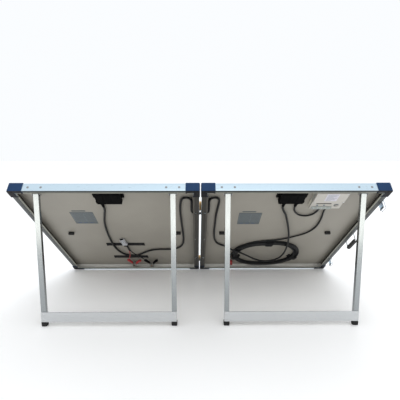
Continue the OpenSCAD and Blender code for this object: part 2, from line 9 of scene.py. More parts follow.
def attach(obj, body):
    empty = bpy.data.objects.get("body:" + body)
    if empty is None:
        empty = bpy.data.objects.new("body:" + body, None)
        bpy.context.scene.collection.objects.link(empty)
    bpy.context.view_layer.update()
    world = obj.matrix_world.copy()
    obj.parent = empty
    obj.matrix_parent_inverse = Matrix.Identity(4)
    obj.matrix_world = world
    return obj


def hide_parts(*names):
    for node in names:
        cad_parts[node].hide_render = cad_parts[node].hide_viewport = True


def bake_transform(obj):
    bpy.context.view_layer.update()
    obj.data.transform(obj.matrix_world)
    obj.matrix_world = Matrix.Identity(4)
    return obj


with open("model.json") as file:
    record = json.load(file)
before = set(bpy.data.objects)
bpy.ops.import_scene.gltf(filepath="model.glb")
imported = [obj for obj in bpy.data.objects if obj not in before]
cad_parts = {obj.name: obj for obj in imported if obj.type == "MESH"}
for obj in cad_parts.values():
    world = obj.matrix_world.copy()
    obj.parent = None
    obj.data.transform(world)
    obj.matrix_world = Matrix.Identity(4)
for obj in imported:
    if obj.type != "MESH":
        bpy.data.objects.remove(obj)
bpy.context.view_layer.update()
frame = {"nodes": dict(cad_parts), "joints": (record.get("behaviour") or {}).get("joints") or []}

MM = 0.001
SCENE = bpy.context.scene
NODES = frame["nodes"]
JOINTS = {j["name"]: j for j in frame["joints"]}

# ---------------------------------------------------------------- the panels' own frame
# x across from the hinge line, s down the slope, n out of the back plane towards the glass.
PANEL_L, PANEL_W = 765.0, 660.0
HALF_GAP, WALL, FOLD_N = 4.0, 1.6, 33.0
MID_X, EDGE_X = HALF_GAP + PANEL_W / 2, HALF_GAP + PANEL_W
BACK_N = 23.9
GAP_S, GAP_N = 180, 12       # where the link cable passes through the rails beside the hinge
HANDLE_S, LATCH_S = 395, (104, 676)
LEG_SHIFT, LEG_HALF = 1.5, 239
CELL_W, CELL_H = 158, 80     # the pitch of the cells, four across and nine down
CELLS_X, CELLS_S = MID_X - 2 * CELL_W, PANEL_L / 2 - 4.5 * CELL_H
SLOPE = -Vector(JOINTS["panel_fold"]["axis"]).normalized()
ACROSS = Vector((1, 0, 0))
OUT = ACROSS.cross(SLOPE)
ORIGIN = Vector(JOINTS["panel_fold"]["pos_m"]) - SLOPE * PANEL_L / 2 * MM - OUT * FOLD_N * MM
PLACE = Matrix((
    (ACROSS.x, SLOPE.x, OUT.x, ORIGIN.x), (ACROSS.y, SLOPE.y, OUT.y, ORIGIN.y),
    (ACROSS.z, SLOPE.z, OUT.z, ORIGIN.z), (0, 0, 0, 1)))
TILT = math.atan2(-SLOPE.z, SLOPE.y)


def row(x, s, n):
    """A point of the panel frame, in millimetres, as a point of the row frame in metres."""
    return PLACE @ (Vector((x, s, n)) * MM)


# ---------------------------------------------------------------- camera
lens = bpy.data.cameras.new("camera")
lens.sensor_width, lens.lens = 36, 30.48
camera = bpy.data.objects.new("camera", lens)
camera.location = (-0.0182, -1.4554, 0.6640)
camera.rotation_euler = (math.radians(90 - 9.43), 0, math.radians(-0.477))
SCENE.collection.objects.link(camera)
SCENE.camera = camera


# ---------------------------------------------------------------- materials
class Nodes:
    """Small helper for building one shader tree."""

    def __init__(self, name):
        self.mat = bpy.data.materials.new(name)
        self.mat.use_nodes = True
        self.tree = self.mat.node_tree
        self.shader = self.tree.nodes["Principled BSDF"]

    def add(self, kind, **settings):
        node = self.tree.nodes.new(kind)
        for key, value in settings.items():
            setattr(node, key, value)
        return node

    def link(self, a, b):
        self.tree.links.new(a, b)

    def coords(self, scale=(1, 1, 1), turn=(0, 0, 0)):
        where = self.add("ShaderNodeTexCoord")
        spin = self.add("ShaderNodeMapping")
        spin.inputs["Rotation"].default_value = turn
        self.link(where.outputs["Object"], spin.inputs["Vector"])
        grow = self.add("ShaderNodeMapping")
        grow.inputs["Scale"].default_value = scale
        self.link(spin.outputs["Vector"], grow.inputs["Vector"])
        return grow.outputs["Vector"]

    def noise(self, vector, scale, detail=4, rough=0.55):
        tex = self.add("ShaderNodeTexNoise")
        tex.inputs["Scale"].default_value = scale
        tex.inputs["Detail"].default_value = detail
        tex.inputs["Roughness"].default_value = rough
        self.link(vector, tex.inputs["Vector"])
        return tex.outputs["Fac"]

    def feed(self, socket, value):
        """Gives a socket a colour, a number or another node's output."""
        if isinstance(value, tuple):
            socket.default_value = (*value, 1)
        elif isinstance(value, (int, float)):
            socket.default_value = value
        else:
            self.link(value, socket)

    def ramp(self, factor, low, high):
        node = self.add("ShaderNodeValToRGB")
        for k, (place, colour) in enumerate(((0.3, low), (0.7, high))):
            node.color_ramp.elements[k].position = place
            node.color_ramp.elements[k].color = (*colour, 1)
        self.link(factor, node.inputs["Fac"])
        return node.outputs["Color"]

    def span(self, factor, low, high, start, stop):
        node = self.add("ShaderNodeMapRange")
        for key, value in (("From Min", start), ("From Max", stop), ("To Min", low), ("To Max", high)):
            node.inputs[key].default_value = value
        self.link(factor, node.inputs["Value"])
        return node.outputs["Result"]

    def math(self, operation, *values):
        node = self.add("ShaderNodeMath", operation=operation)
        for socket, value in zip(node.inputs, values):
            self.feed(socket, value)
        return node.outputs[0]

    def mix(self, factor, a, b):
        node = self.add("ShaderNodeMix", data_type="RGBA")
        for k, value in ((0, factor), (6, a), (7, b)):
            self.feed(node.inputs[k], value)
        return node.outputs[2]

    def bump(self, height, strength, distance):
        node = self.add("ShaderNodeBump")
        node.inputs["Strength"].default_value = strength
        node.inputs["Distance"].default_value = distance
        self.link(height, node.inputs["Height"])
        self.link(node.outputs["Normal"], self.shader.inputs["Normal"])

    def set(self, **values):
        for key, value in values.items():
            self.feed(self.shader.inputs[key.replace("_", " ")], value)


def shade(colour, factor):
    return tuple(min(1.0, c * factor) for c in colour)


MAT = {}


def surface(name, colour, rough, metal, spread, scale, fine, bump=0.15, depth=0.0001,
            grain=(1, 1, 1), **extra):
    """A general finish: two-tone colour from a broad noise, fine grain in roughness and bump."""
    t = Nodes(name)
    where = t.coords(grain)
    broad = t.noise(where, scale)
    small = t.noise(where, fine, 3)
    t.set(Base_Color=t.ramp(broad, shade(colour, 1 - spread), shade(colour, 1 + spread)),
          Roughness=t.span(small, rough - 0.08, rough + 0.08, 0.3, 0.7), Metallic=metal)
    t.bump(small, bump, depth)
    t.set(**extra)
    MAT[name] = t.mat


def drawn(name, colour, rough, metal, spread, scale, grain, fine):
    """Drawn metal: a finish stretched along the grain, almost without bumps."""
    surface(name, colour, rough, metal, spread, scale, fine, 0.1, 0.00005, grain)


# painted reflection: the pale blue in rail_x and rail_s stands in for the sky reflecting in the frames'
# light grey aluminium
drawn("rail_x", (0.56, 0.69, 0.78), 0.34, 0.55, 0.03, 4, (0.03, 1, 1), 900)
drawn("rail_s", (0.56, 0.69, 0.78), 0.34, 0.55, 0.03, 4, (1, 0.03, 1), 900)
# painted shade: flange, flange_x and flange_mid colour the aluminium back flanges near-black, standing
# in for the shaded floor they reflect; flange_mid, on the hinge side, is a browner and darker painted
# shade
drawn("flange", (0.062, 0.067, 0.065), 0.46, 0.5, 0.1, 20, (1, 0.05, 1), 700)
drawn("flange_x", (0.062, 0.067, 0.065), 0.46, 0.5, 0.1, 20, (0.05, 1, 1), 700)
drawn("flange_mid", (0.042, 0.039, 0.033), 0.46, 0.4, 0.1, 20, (1, 0.05, 1), 700)
# painted highlight: flange_lip gives the flange's edge a lighter grey, as if lit, beside the painted
# shade of the flanges
drawn("flange_lip", (0.26, 0.26, 0.22), 0.42, 0.5, 0.1, 20, (1, 0.05, 1), 700)
surface("black", (0.0025, 0.0025, 0.0028), 0.5, 0.0, 0.2, 30, 1300, bump=0.3, Specular_IOR_Level=0.025)
surface("bracket", (0.008, 0.008, 0.009), 0.45, 0.0, 0.2, 30, 900, bump=0.25, Specular_IOR_Level=0.14)
surface("bolt", (0.3, 0.3, 0.31), 0.32, 0.9, 0.1, 60, 700)
surface("pad", (0.004, 0.004, 0.004), 0.8, 0.0, 0.3, 200, 1500, bump=0.6, depth=0.0003)
surface("hinge", (0.55, 0.36, 0.16), 0.33, 0.9, 0.2, 50, 600)
drawn("leg", (0.31, 0.33, 0.34), 0.22, 0.95, 0.04, 6, (1, 1, 0.03), 800)
surface("bar", (0.5, 0.515, 0.53), 0.34, 0.9, 0.05, 6, 800, depth=0.00006, grain=(0.03, 1, 1))
surface("foot", (0.01, 0.01, 0.011), 0.6, 0.0, 0.2, 60, 900, bump=0.3, Specular_IOR_Level=0.3)
surface("case", (0.7, 0.67, 0.58), 0.45, 0.0, 0.04, 20, 1200, bump=0.2)
surface("face", (0.5, 0.475, 0.43), 0.38, 0.0, 0.03, 20, 1200)
surface("terminal", (0.34, 0.37, 0.35), 0.4, 0.0, 0.1, 60, 900, bump=0.2)
surface("button", (0.3, 0.285, 0.25), 0.5, 0.0, 0.15, 80, 900, bump=0.2)
surface("cable", (0.006, 0.0065, 0.0075), 0.42, 0.0, 0.25, 40, 1100, bump=0.25, Specular_IOR_Level=0.22)
surface("red", (0.36, 0.012, 0.015), 0.38, 0.0, 0.15, 60, 900, bump=0.25)
surface("steel", (0.7, 0.71, 0.72), 0.27, 0.95, 0.06, 60, 700)
surface("grey_shell", (0.45, 0.46, 0.48), 0.35, 0.3, 0.08, 60, 800)
surface("grip", (0.02, 0.02, 0.021), 0.55, 0.0, 0.2, 60, 900, bump=0.35)
surface("nickel", (0.66, 0.69, 0.73), 0.22, 0.95, 0.07, 70, 600)
SPIN = (TILT, 0, 0)      # row frame back to the panel frame, for the CAD nodes' coordinates


def cap_material():
    """Moulded black plastic: a navy painted sky reflection on the faces not turned to the back, with
    the plate on the back flange left black.
    """
    t = Nodes("cap")
    where = t.add("ShaderNodeTexCoord")
    facing = t.add("ShaderNodeVectorMath", operation="DOT_PRODUCT")
    t.link(where.outputs["Normal"], facing.inputs[0])
    facing.inputs[1].default_value = -OUT
    grain = t.noise(where.outputs["Object"], 1400, 3)
    # painted reflection: navy stands in for the sky reflecting in the black plastic, on every face not
    # turned to the back
    navy = t.ramp(t.noise(where.outputs["Object"], 25),
                  (0.010, 0.036, 0.098), (0.013, 0.045, 0.119))
    t.set(Base_Color=t.mix(t.span(facing.outputs["Value"], 0, 1, 0.55, 0.8), navy,
                           (0.006, 0.006, 0.008)),
          Roughness=t.span(grain, 0.42, 0.56, 0.3, 0.7), Specular_IOR_Level=0.16)
    t.bump(grain, 0.3, 0.0001)
    return t.mat


def backsheet_material():
    """Woven laminate, white in front; behind it is a darker beige that is painted shade of the white
    sheet.
    """
    t = Nodes("backsheet")
    where = t.coords((1, 1, 1), SPIN)
    broad = t.noise(where, 3.2, 3)
    fleck = t.noise(where, 900, 2)
    # painted shade: the back of the white sheet is coloured a dim beige as if in shade; the flecks vary
    # at random
    grey = t.ramp(broad, (0.275, 0.255, 0.218), (0.335, 0.314, 0.27))
    grey = t.mix(t.span(fleck, 0, 0.35, 0.35, 0.65), grey, (0.25, 0.233, 0.20))
    split = t.add("ShaderNodeSeparateXYZ")
    t.link(where, split.inputs[0])
    height = (PLACE.inverted() @ Vector((0, 0, 0))).z
    middle = (BACK_N + 0.45) * MM - height
    front = t.math("GREATER_THAN", split.outputs["Z"], middle)
    t.set(Base_Color=t.mix(front, grey, (0.80, 0.81, 0.82)), Roughness=0.5)
    t.bump(fleck, 0.15, 0.0001)
    return t.mat


def glass_material():
    t = Nodes("glass")
    where = t.coords()
    dust = t.noise(where, 6, 6, 0.7)
    t.set(Base_Color=(0.16, 0.19, 0.26), Roughness=t.span(dust, 0.04, 0.09, 0.3, 0.7),
          Alpha=0.07, IOR=1.45)
    t.bump(t.noise(where, 900, 2), 0.05, 0.00003)
    return t.mat


def cell_material():
    """Dark blue silicon: mottled blue, fine fingers across and five busbars down each cell."""
    t = Nodes("cell")
    where = t.coords((1, 1, 1), SPIN)
    split = t.add("ShaderNodeSeparateXYZ")
    t.link(where, split.inputs[0])
    local = PLACE.inverted() @ Vector((0, 0, 0))

    def to_edge(share, pitch):
        """The distance to the nearer edge of a cell, from the share of the pitch."""
        return t.math("MULTIPLY", t.math("MINIMUM", share, t.math("SUBTRACT", 1.0, share)), pitch * MM)

    def within(value, limit):
        return t.math("LESS_THAN", value, limit)

    x = t.math("ABSOLUTE", t.math("ADD", split.outputs["X"], local.x))
    cell = t.math("FRACT", t.math("DIVIDE", t.math("SUBTRACT", x, CELLS_X * MM), CELL_W * MM))
    bars = t.math("FRACT", t.math("MULTIPLY", cell, 5))
    bar = within(t.math("ABSOLUTE", t.math("SUBTRACT", bars, 0.5)), 0.022)
    s = t.math("ADD", split.outputs["Y"], local.y)
    row_at = t.math("FRACT", t.math("DIVIDE", t.math("SUBTRACT", s, CELLS_S * MM), CELL_H * MM))
    diamond = within(t.math("ADD", to_edge(cell, CELL_W), to_edge(row_at, CELL_H)), 0.0085)
    finger = within(t.math("FRACT", t.math("DIVIDE", s, 0.0016)), 0.10)
    blue = t.ramp(t.noise(where, 7, 4), (0.009, 0.011, 0.062), (0.012, 0.014, 0.074))
    blue = t.mix(t.math("MULTIPLY", finger, 0.06), blue, (0.16, 0.19, 0.32))
    blue = t.mix(t.math("MULTIPLY", bar, 0.6), blue, (0.30, 0.34, 0.45))
    blue = t.mix(diamond, blue, (0.72, 0.74, 0.77))
    t.set(Base_Color=blue, Roughness=0.45, Specular_IOR_Level=0.25)
    t.bump(t.noise(where, 300, 2), 0.03, 0.00002)
    return t.mat


def strap_material():
    """Woven hook-and-loop tape: crossed ribs and fuzz."""
    t = Nodes("strap")
    where = t.coords()
    ribs = []
    for direction, distortion in (("X", 1.5), ("Y", 0)):
        wave = t.add("ShaderNodeTexWave", wave_type="BANDS", bands_direction=direction)
        wave.inputs["Scale"].default_value = 260
        wave.inputs["Distortion"].default_value = distortion
        t.link(where, wave.inputs["Vector"])
        ribs.append(wave.outputs["Fac"])
    weave = t.math("MULTIPLY", *ribs)
    fuzz = t.noise(where, 500, 4)
    t.set(Base_Color=t.ramp(fuzz, (0.002, 0.002, 0.003), (0.008, 0.008, 0.009)),
          Roughness=0.9, Specular_IOR_Level=0.15, Sheen_Weight=0.04, Sheen_Roughness=0.5)
    t.bump(t.math("ADD", weave, fuzz), 0.5, 0.0003)
    return t.mat


MAT.update(cap=cap_material(), backsheet=backsheet_material(), glass=glass_material(),
           cell=cell_material(), strap=strap_material())
# painted shade and painted light inside the channels: rail_in keeps the side rails' inner walls dim as
# in shade, rail_in_x makes the end rails' inner walls bright as if lit
drawn("rail_in", (0.085, 0.078, 0.066), 0.5, 0.2, 0.08, 20, (1, 0.05, 1), 700)
drawn("rail_in_x", (0.66, 0.65, 0.62), 0.42, 0.3, 0.05, 20, (0.05, 1, 1), 700)
surface("plate", (0.1, 0.118, 0.124), 0.45, 0.1, 0.06, 30, 900, bump=0.1)
surface("mark", (0.05, 0.075, 0.14), 0.4, 0.0, 0.1, 60, 900)
surface("rule", (0.24, 0.27, 0.29), 0.5, 0.0, 0.05, 60, 900)
# painted shade: dark colours the crossed bars and slots that stand in for the shade inside screw
# recesses
surface("dark", (0.01, 0.01, 0.01), 0.6, 0.0, 0.2, 60, 900)
surface("rivet", (0.3, 0.31, 0.32), 0.45, 0.9, 0.06, 80, 700)
surface("thread", (0.05, 0.05, 0.052), 0.8, 0.0, 0.2, 300, 900)
surface("clip_steel", (0.36, 0.35, 0.33), 0.35, 0.9, 0.15, 70, 600)
surface("copper", (0.55, 0.25, 0.12), 0.35, 0.95, 0.15, 70, 600)
surface("ribbon", (0.72, 0.73, 0.75), 0.35, 0.8, 0.06, 80, 700)
surface("face_label", (0.6, 0.58, 0.64), 0.35, 0.0, 0.02, 30, 1200, bump=0.05)
surface("mark_blue", (0.06, 0.1, 0.16), 0.4, 0.0, 0.1, 60, 900)


# ---------------------------------------------------------------- mesh helpers, all in millimetres
def mesh_of(name, bm):
    mesh = bpy.data.meshes.new(name)
    bm.to_mesh(mesh)
    bm.free()
    return mesh


def merge(bm, part, matrix=None, mat=None):
    """Adds bmesh part to bm, moved by matrix; mat, if given, is its faces' material index."""
    if matrix is not None:
        bmesh.ops.transform(part, matrix=matrix, verts=part.verts)
    if mat is not None:
        for f in part.faces:
            f.material_index = mat
    mesh = mesh_of("part", part)
    bm.from_mesh(mesh)
    bpy.data.meshes.remove(mesh)


def turn(angle, axis="Z", at=(0, 0, 0)):
    return Matrix.Translation(at) @ Matrix.Rotation(math.radians(angle), 4, axis)


def box(bm, lo, hi, r=0.5, seg=2, mat=0, matrix=None):
    part = bmesh.new()
    bmesh.ops.create_cube(part, size=1)
    lo, hi = Vector(lo), Vector(hi)
    size, mid = hi - lo, (hi + lo) / 2
    for v in part.verts:
        v.co = Vector(a * b for a, b in zip(v.co, size)) + mid
    if r:
        bmesh.ops.bevel(part, geom=part.edges[:], offset=min(r, min(size) * 0.45), segments=seg,
                        affect="EDGES", profile=0.5)
    merge(bm, part, matrix, mat)


def prism(bm, outline, z0, z1, r=0.4, seg=2, mat=0, matrix=None):
    """An outline in x, y drawn up from z0 to z1, with its rim edges rounded."""
    part = bmesh.new()
    low = [part.verts.new((x, y, z0)) for x, y in outline]
    high = [part.verts.new((x, y, z1)) for x, y in outline]
    bottom = part.faces.new(low[::-1])
    top = part.faces.new(high)
    for i in range(len(outline)):
        j = (i + 1) % len(outline)
        part.faces.new((low[i], low[j], high[j], high[i]))
    bmesh.ops.recalc_face_normals(part, faces=part.faces)
    if r:
        rim = list(set(bottom.edges[:] + top.edges[:]))
        bmesh.ops.bevel(part, geom=rim, offset=min(r, (z1 - z0) * 0.45), segments=seg,
                        affect="EDGES", profile=0.5)
    merge(bm, part, matrix, mat)


def rounded(w, h, r, cx=0.0, cy=0.0):
    """A rounded rectangle as a list of points, five steps to each corner."""
    points = []
    for qx, qy, start in ((1, 1, 0), (-1, 1, 90), (-1, -1, 180), (1, -1, 270)):
        for k in range(6):
            a = math.radians(start + 90 * k / 5)
            points.append((cx + qx * (w / 2 - r) + r * math.cos(a),
                           cy + qy * (h / 2 - r) + r * math.sin(a)))
    return points


def angles(count):
    """The directions of points spread evenly round a circle."""
    return [2 * math.pi * k / count for k in range(count)]


def lathe(bm, profile, sides=24, mat=0, matrix=None):
    """A profile of (radius, height) pairs turned about z; radius 0 closes an end."""
    part = bmesh.new()
    rings = []
    for r, z in profile:
        spots = [(r * math.cos(a), r * math.sin(a), z) for a in angles(sides)] if r > 0 else [(0, 0, z)]
        rings.append([part.verts.new(spot) for spot in spots])
    for a, b in zip(rings, rings[1:]):
        for k in range(sides):
            m = (k + 1) % sides
            if len(a) == 1 and len(b) > 1:
                part.faces.new((a[0], b[m], b[k]))
            elif len(b) == 1 and len(a) > 1:
                part.faces.new((a[k], a[m], b[0]))
            elif len(a) > 1:
                part.faces.new((a[k], a[m], b[m], b[k]))
    if len(rings[0]) > 1:
        part.faces.new(rings[0][::-1])
    if len(rings[-1]) > 1:
        part.faces.new(rings[-1])
    bmesh.ops.recalc_face_normals(part, faces=part.faces)
    merge(bm, part, matrix, mat)


def along(direction, at):
    """A matrix that turns z to direction and moves the origin to at."""
    d = Vector(direction).normalized()
    side = Vector((1, 0, 0)) if abs(d.x) < 0.9 else Vector((0, 1, 0))
    u = side.cross(d).normalized()
    v = d.cross(u)
    return Matrix(((u.x, v.x, d.x, at[0]), (u.y, v.y, d.y, at[1]), (u.z, v.z, d.z, at[2]),
                   (0, 0, 0, 1)))


def spline(points, step=4.0):
    """A smooth line through the points (centripetal Catmull-Rom), about one point each step."""
    pts = [Vector(p) for p in points]
    pts = [pts[0] * 2 - pts[1]] + pts + [pts[-1] * 2 - pts[-2]]
    out = []
    for i in range(1, len(pts) - 2):
        p0, p1, p2, p3 = pts[i - 1:i + 3]
        t0 = 0.0
        t1 = t0 + (p1 - p0).length ** 0.5
        t2 = t1 + (p2 - p1).length ** 0.5
        t3 = t2 + (p3 - p2).length ** 0.5
        count = max(1, round((p2 - p1).length / step))
        for k in range(count):
            t = t1 + (t2 - t1) * k / count
            a1 = p0 * ((t1 - t) / (t1 - t0)) + p1 * ((t - t0) / (t1 - t0))
            a2 = p1 * ((t2 - t) / (t2 - t1)) + p2 * ((t - t1) / (t2 - t1))
            a3 = p2 * ((t3 - t) / (t3 - t2)) + p3 * ((t - t2) / (t3 - t2))
            b1 = a1 * ((t2 - t) / (t2 - t0)) + a2 * ((t - t0) / (t2 - t0))
            b2 = a2 * ((t3 - t) / (t3 - t1)) + a3 * ((t - t1) / (t3 - t1))
            out.append(b1 * ((t2 - t) / (t2 - t1)) + b2 * ((t - t1) / (t2 - t1)))
    out.append(pts[-2])
    return out


def heading(line, i):
    """The direction of a line of points at its point i."""
    return (line[min(i + 1, len(line) - 1)] - line[max(i - 1, 0)]).normalized()


def loft(bm, sections, mat=0, matrix=None):
    """Skins a run of outlines with equal point counts, closing both ends."""
    part = bmesh.new()
    rings = [[part.verts.new(p) for p in section] for section in sections]
    for a, b in zip(rings, rings[1:]):
        for k in range(len(a)):
            m = (k + 1) % len(a)
            part.faces.new((a[k], a[m], b[m], b[k]))
    part.faces.new(rings[0][::-1])
    part.faces.new(rings[-1])
    bmesh.ops.recalc_face_normals(part, faces=part.faces)
    merge(bm, part, matrix, mat)


def tube(bm, points, radius, sides=16, mat=0):
    """A round tube along the points."""
    line = [Vector(p) for p in points]
    sections = []
    up = Vector((0, 0, 1)) if abs(heading(line, 0).z) < 0.9 else Vector((1, 0, 0))
    for i, p in enumerate(line):
        d = heading(line, i)
        up = (up - d * up.dot(d)).normalized()
        side = d.cross(up)
        sections.append([p + (up * math.cos(a) + side * math.sin(a)) * radius for a in angles(sides)])
    loft(bm, sections, mat)


def piece(name, bm, mats, body, matrix=PLACE, mirror=False, angle=32, replaces=()):
    """Turns bm, in millimetres, into an object placed by matrix, riding on a body."""
    bmesh.ops.scale(bm, vec=(-MM if mirror else MM, MM, MM), verts=bm.verts)
    if mirror:
        bmesh.ops.reverse_faces(bm, faces=bm.faces)
    mesh = mesh_of(name, bm)
    for m in mats if isinstance(mats, (list, tuple)) else [mats]:
        mesh.materials.append(MAT[m])
    mesh.shade_smooth()
    mesh.set_sharp_from_angle(angle=math.radians(angle))
    obj = bpy.data.objects.new(name, mesh)
    SCENE.collection.objects.link(obj)
    obj.matrix_world = matrix
    if body:
        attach(obj, body)
    if replaces:
        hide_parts(*replaces)
    return obj


def finish_node(name, mat, bevel):
    """Gives a CAD node its material and rounds its edges with modifiers; its mesh stays."""
    obj = NODES[name]
    mesh = obj.data
    if "custom_normal" in mesh.attributes:
        mesh.attributes.remove(mesh.attributes["custom_normal"])
    mesh.materials.clear()
    mesh.materials.append(MAT[mat])
    mesh.shade_smooth()
    weld = obj.modifiers.new("weld", "WELD")
    weld.merge_threshold = 1e-6
    flat = obj.modifiers.new("flat", "DECIMATE")
    flat.decimate_type = "DISSOLVE"
    flat.angle_limit = math.radians(0.6)
    if bevel:
        edge = obj.modifiers.new("edge", "BEVEL")
        edge.width = bevel * MM
        edge.segments = 2
        edge.limit_method = "ANGLE"
        edge.angle_limit = math.radians(28)
        edge.miter_outer = "MITER_ARC"
    even = obj.modifiers.new("even", "WEIGHTED_NORMAL")
    even.keep_sharp = True


# ---------------------------------------------------------------- cords
LEFT_ROUTE = [
    (-366, 113, 14), (-366, 130, 14), (-369, 160, 17), (-379, 200, 18.4), (-390, 245, 18.4),
    (-398, 290, 18.4), (-403, 340, 18.4), (-406, 390, 18.4), (-407, 440, 18.4), (-406, 490, 18.4),
    (-401, 535, 18.4), (-390, 575, 18.4), (-372, 606, 18.4), (-346, 624, 18.4), (-316, 622, 18.4),
    (-290, 604, 18.4), (-264, 579, 18.4), (-235, 558, 18.4), (-200, 548, 18.4), (-160, 547, 18.4),
    (-122, 541, 18.4), (-95, 520, 18.4), (-80, 485, 18.4), (-75, 440, 18.4), (-74, 390, 18.4),
    (-75, 330, 18.4), (-77, 260, 18.4), (-78, 200, 18.4), (-77, 150, 18.4), (-75.5, 124, 18.4),
    (-71.6, 96, 18.3), (-67, 83.3, 18), (-60.6, 76.2, 17.5), (-51.5, 73.5, 17),
    (-42.25, 76, 16.4), (-35.5, 82.75, 15.8),
    (-33, 92, 15), (-33, 110, 14), (-33, 140, 12.5), (-33, 161, 12), (-30.5, 170.5, 12),
    (-23.5, 177.5, 12), (-14, 180, 12), (-5, 180, 12)]
RIGHT_ROUTE = [
    (5, 180, 12), (14, 180, 12), (23.5, 177.5, 12), (30.5, 170.5, 12), (33, 161, 12),
    (33, 140, 12.5), (33, 110, 14), (33, 92, 15), (35.5, 82.75, 15.8), (42.25, 76, 16.4),
    (51.5, 73.5, 17), (60.75, 76, 17.6), (67.4, 82.9, 18), (69.8, 93, 18.3), (69.6, 120, 18.4),
    (67, 155, 18.4), (64, 200, 18.4), (63, 260, 18.4), (62, 320, 18.4), (63, 380, 18.4),
    (67, 430, 18.4), (78, 470, 18.4), (100, 496, 18.4), (116, 505.5, 18.1), (135, 516, 13.2),
    (152, 526, 7.6), (170, 536, 4.9), (205, 566, 4.9),
    (240, 602, 4.9), (275, 638, 4.9), (312, 664, 4.9), (350, 668, 4.9), (382, 650, 4.9),
    (402, 615, 4.9), (410, 570, 4.9), (410, 520, 4.9), (405, 460, 4.9), (396, 400, 5.4),
    (382, 335, 8.5), (362, 265, 13), (340, 200, 16.2), (321, 158, 15.6), (314, 130, 14),
    (314, 113, 14)]
JUMPER_ROUTE = [
    (360, 113, 14), (360, 130, 14), (365, 160, 17), (378, 188, 18), (398, 207, 18),
    (424, 213, 18), (446, 202, 18), (456, 178, 17), (457, 150, 14), (457, 126, 14)]
OUTPUT_ROUTE = [
    (481, 126, 14), (481, 150, 14), (485, 180, 17), (493, 225, 19), (497, 275, 19),
    (493, 320, 19), (478, 358, 18.6), (453, 386, 18.4), (424, 407, 18.4), (394, 425, 18.4),
    (362, 440, 18.4), (325, 450, 18.4), (285, 457, 18.8), (250, 470, 19.5)]
TAIL_ROUTE = [(157, 588, 13.1), (151, 612, 13.8), (150, 640, 15), (153, 664, 16), (158, 686, 16)]
RED_ROUTE = [
    (-346, 498, 16), (-344, 518, 16), (-342, 540, 14.5), (-341.5, 565, 12.5), (-343.5, 592, 11),
    (-349, 618, 10), (-356, 640, 9.4), (-361, 656, 9.3), (-360, 666, 9.3), (-356.4, 675, 9.3)]
BLACK_ROUTE = [
    (-341, 498, 16), (-339, 518, 16), (-336.5, 541, 14.5), (-328, 570, 12.5), (-311, 601, 11),
    (-296, 626, 10), (-284, 646, 9.5), (-277.5, 661, 9.3), (-274, 669, 9.3), (-269.8, 678, 9.3)]
LINK_D, LEAD_D, CLIP_LEAD_D = 8.5, 7.0, 4.5


def cord_curve(name, points, diameter, mat, body, slot, *nodes):
    """A cord as one open spline through the points, in the panel frame, in place of nodes."""
    data = bpy.data.curves.new(name, "CURVE")
    data.dimensions = "3D"
    data.bevel_depth = diameter / 2 * MM
    data.bevel_resolution = 5
    data.use_fill_caps = True
    line = data.splines.new("POLY")
    line.points.add(len(points) - 1)
    for spot, p in zip(line.points, points):
        spot.co = (*(p * MM), 1)
    line.use_smooth = True
    data.materials.append(MAT[mat])
    obj = bpy.data.objects.new(name, data)
    SCENE.collection.objects.link(obj)
    obj.matrix_world = PLACE
    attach(obj, body)
    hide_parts(*nodes)
    return obj


def smoothstep(t):
    t = min(1.0, max(0.0, t))
    return t * t * (3 - 2 * t)


COIL_CENTRE, COIL_STRAIGHT = (325, 604), 50


def stadium(radius, share):
    """A point on the coil's outline at a share of the turn, from the top of the left arc round
    by the left, the bottom and the right."""
    arc = math.pi * radius
    walk = (share % 1.0) * 2 * (arc + COIL_STRAIGHT)
    cx, cy = COIL_CENTRE
    if walk < arc:
        a = walk / radius
        return cx - COIL_STRAIGHT / 2 - radius * math.sin(a), cy - radius * math.cos(a)
    walk -= arc
    if walk < COIL_STRAIGHT:
        return cx - COIL_STRAIGHT / 2 + walk, cy + radius
    walk -= COIL_STRAIGHT
    if walk < arc:
        a = walk / radius
        return cx + COIL_STRAIGHT / 2 + radius * math.sin(a), cy + radius * math.cos(a)
    walk -= arc
    return cx + COIL_STRAIGHT / 2 - walk, cy - radius


def coil_points():
    """Seven turns: four side by side against the panel, then three on top of them."""
    radii = [138.5, 131.2, 124.0, 116.8, 116.8, 124.0, 131.2, 138.5]
    levels = [20.0] * 4 + [12.9] * 4
    moves = [0.90, 0.90, 0.90, 0.80, 0.70, 0.60, 0.50]      # where a turn starts over to the next
    turns = len(moves)
    perimeter = 2 * (math.pi * radii[0] + COIL_STRAIGHT)
    first = math.radians(37.4) * radii[0] / perimeter
    last = math.radians(73.5) * radii[0] / perimeter
    points = []
    total = round((turns + last - first) * 116)
    for k in range(total + 1):
        walked = k * (turns + last - first) / total
        lap = min(int(walked), turns)
        r, n = radii[lap], levels[lap]
        if lap < turns:
            w = smoothstep((walked - lap - moves[lap]) / 0.1)
            r += (radii[lap + 1] - r) * w
            n += (levels[lap + 1] - n) * w
        x, s = stadium(r, first + walked)
        points.append(Vector((x, s, n)))
    return points


def place_in(line, point):
    """The number of the line's point that lies on the given one."""
    return next(i for i, p in enumerate(line) if (p - point).length < 0.01)


coil_line = coil_points()
lead_in = spline(OUTPUT_ROUTE + [coil_line[0], coil_line[2]], 5)
tail_out = spline([coil_line[-3], coil_line[-1]] + TAIL_ROUTE, 5)
output_line = (lead_in[:place_in(lead_in, coil_line[0])] + coil_line
               + tail_out[place_in(tail_out, coil_line[-1]) + 1:])
jumper_line, red_line, black_line = (spline(r, 4) for r in (JUMPER_ROUTE, RED_ROUTE, BLACK_ROUTE))
gap_line = [Vector((k / 2, GAP_S, GAP_N)) for k in range(-9, 10)]
link_line = spline(LEFT_ROUTE, 5) + gap_line + spline(RIGHT_ROUTE, 5)

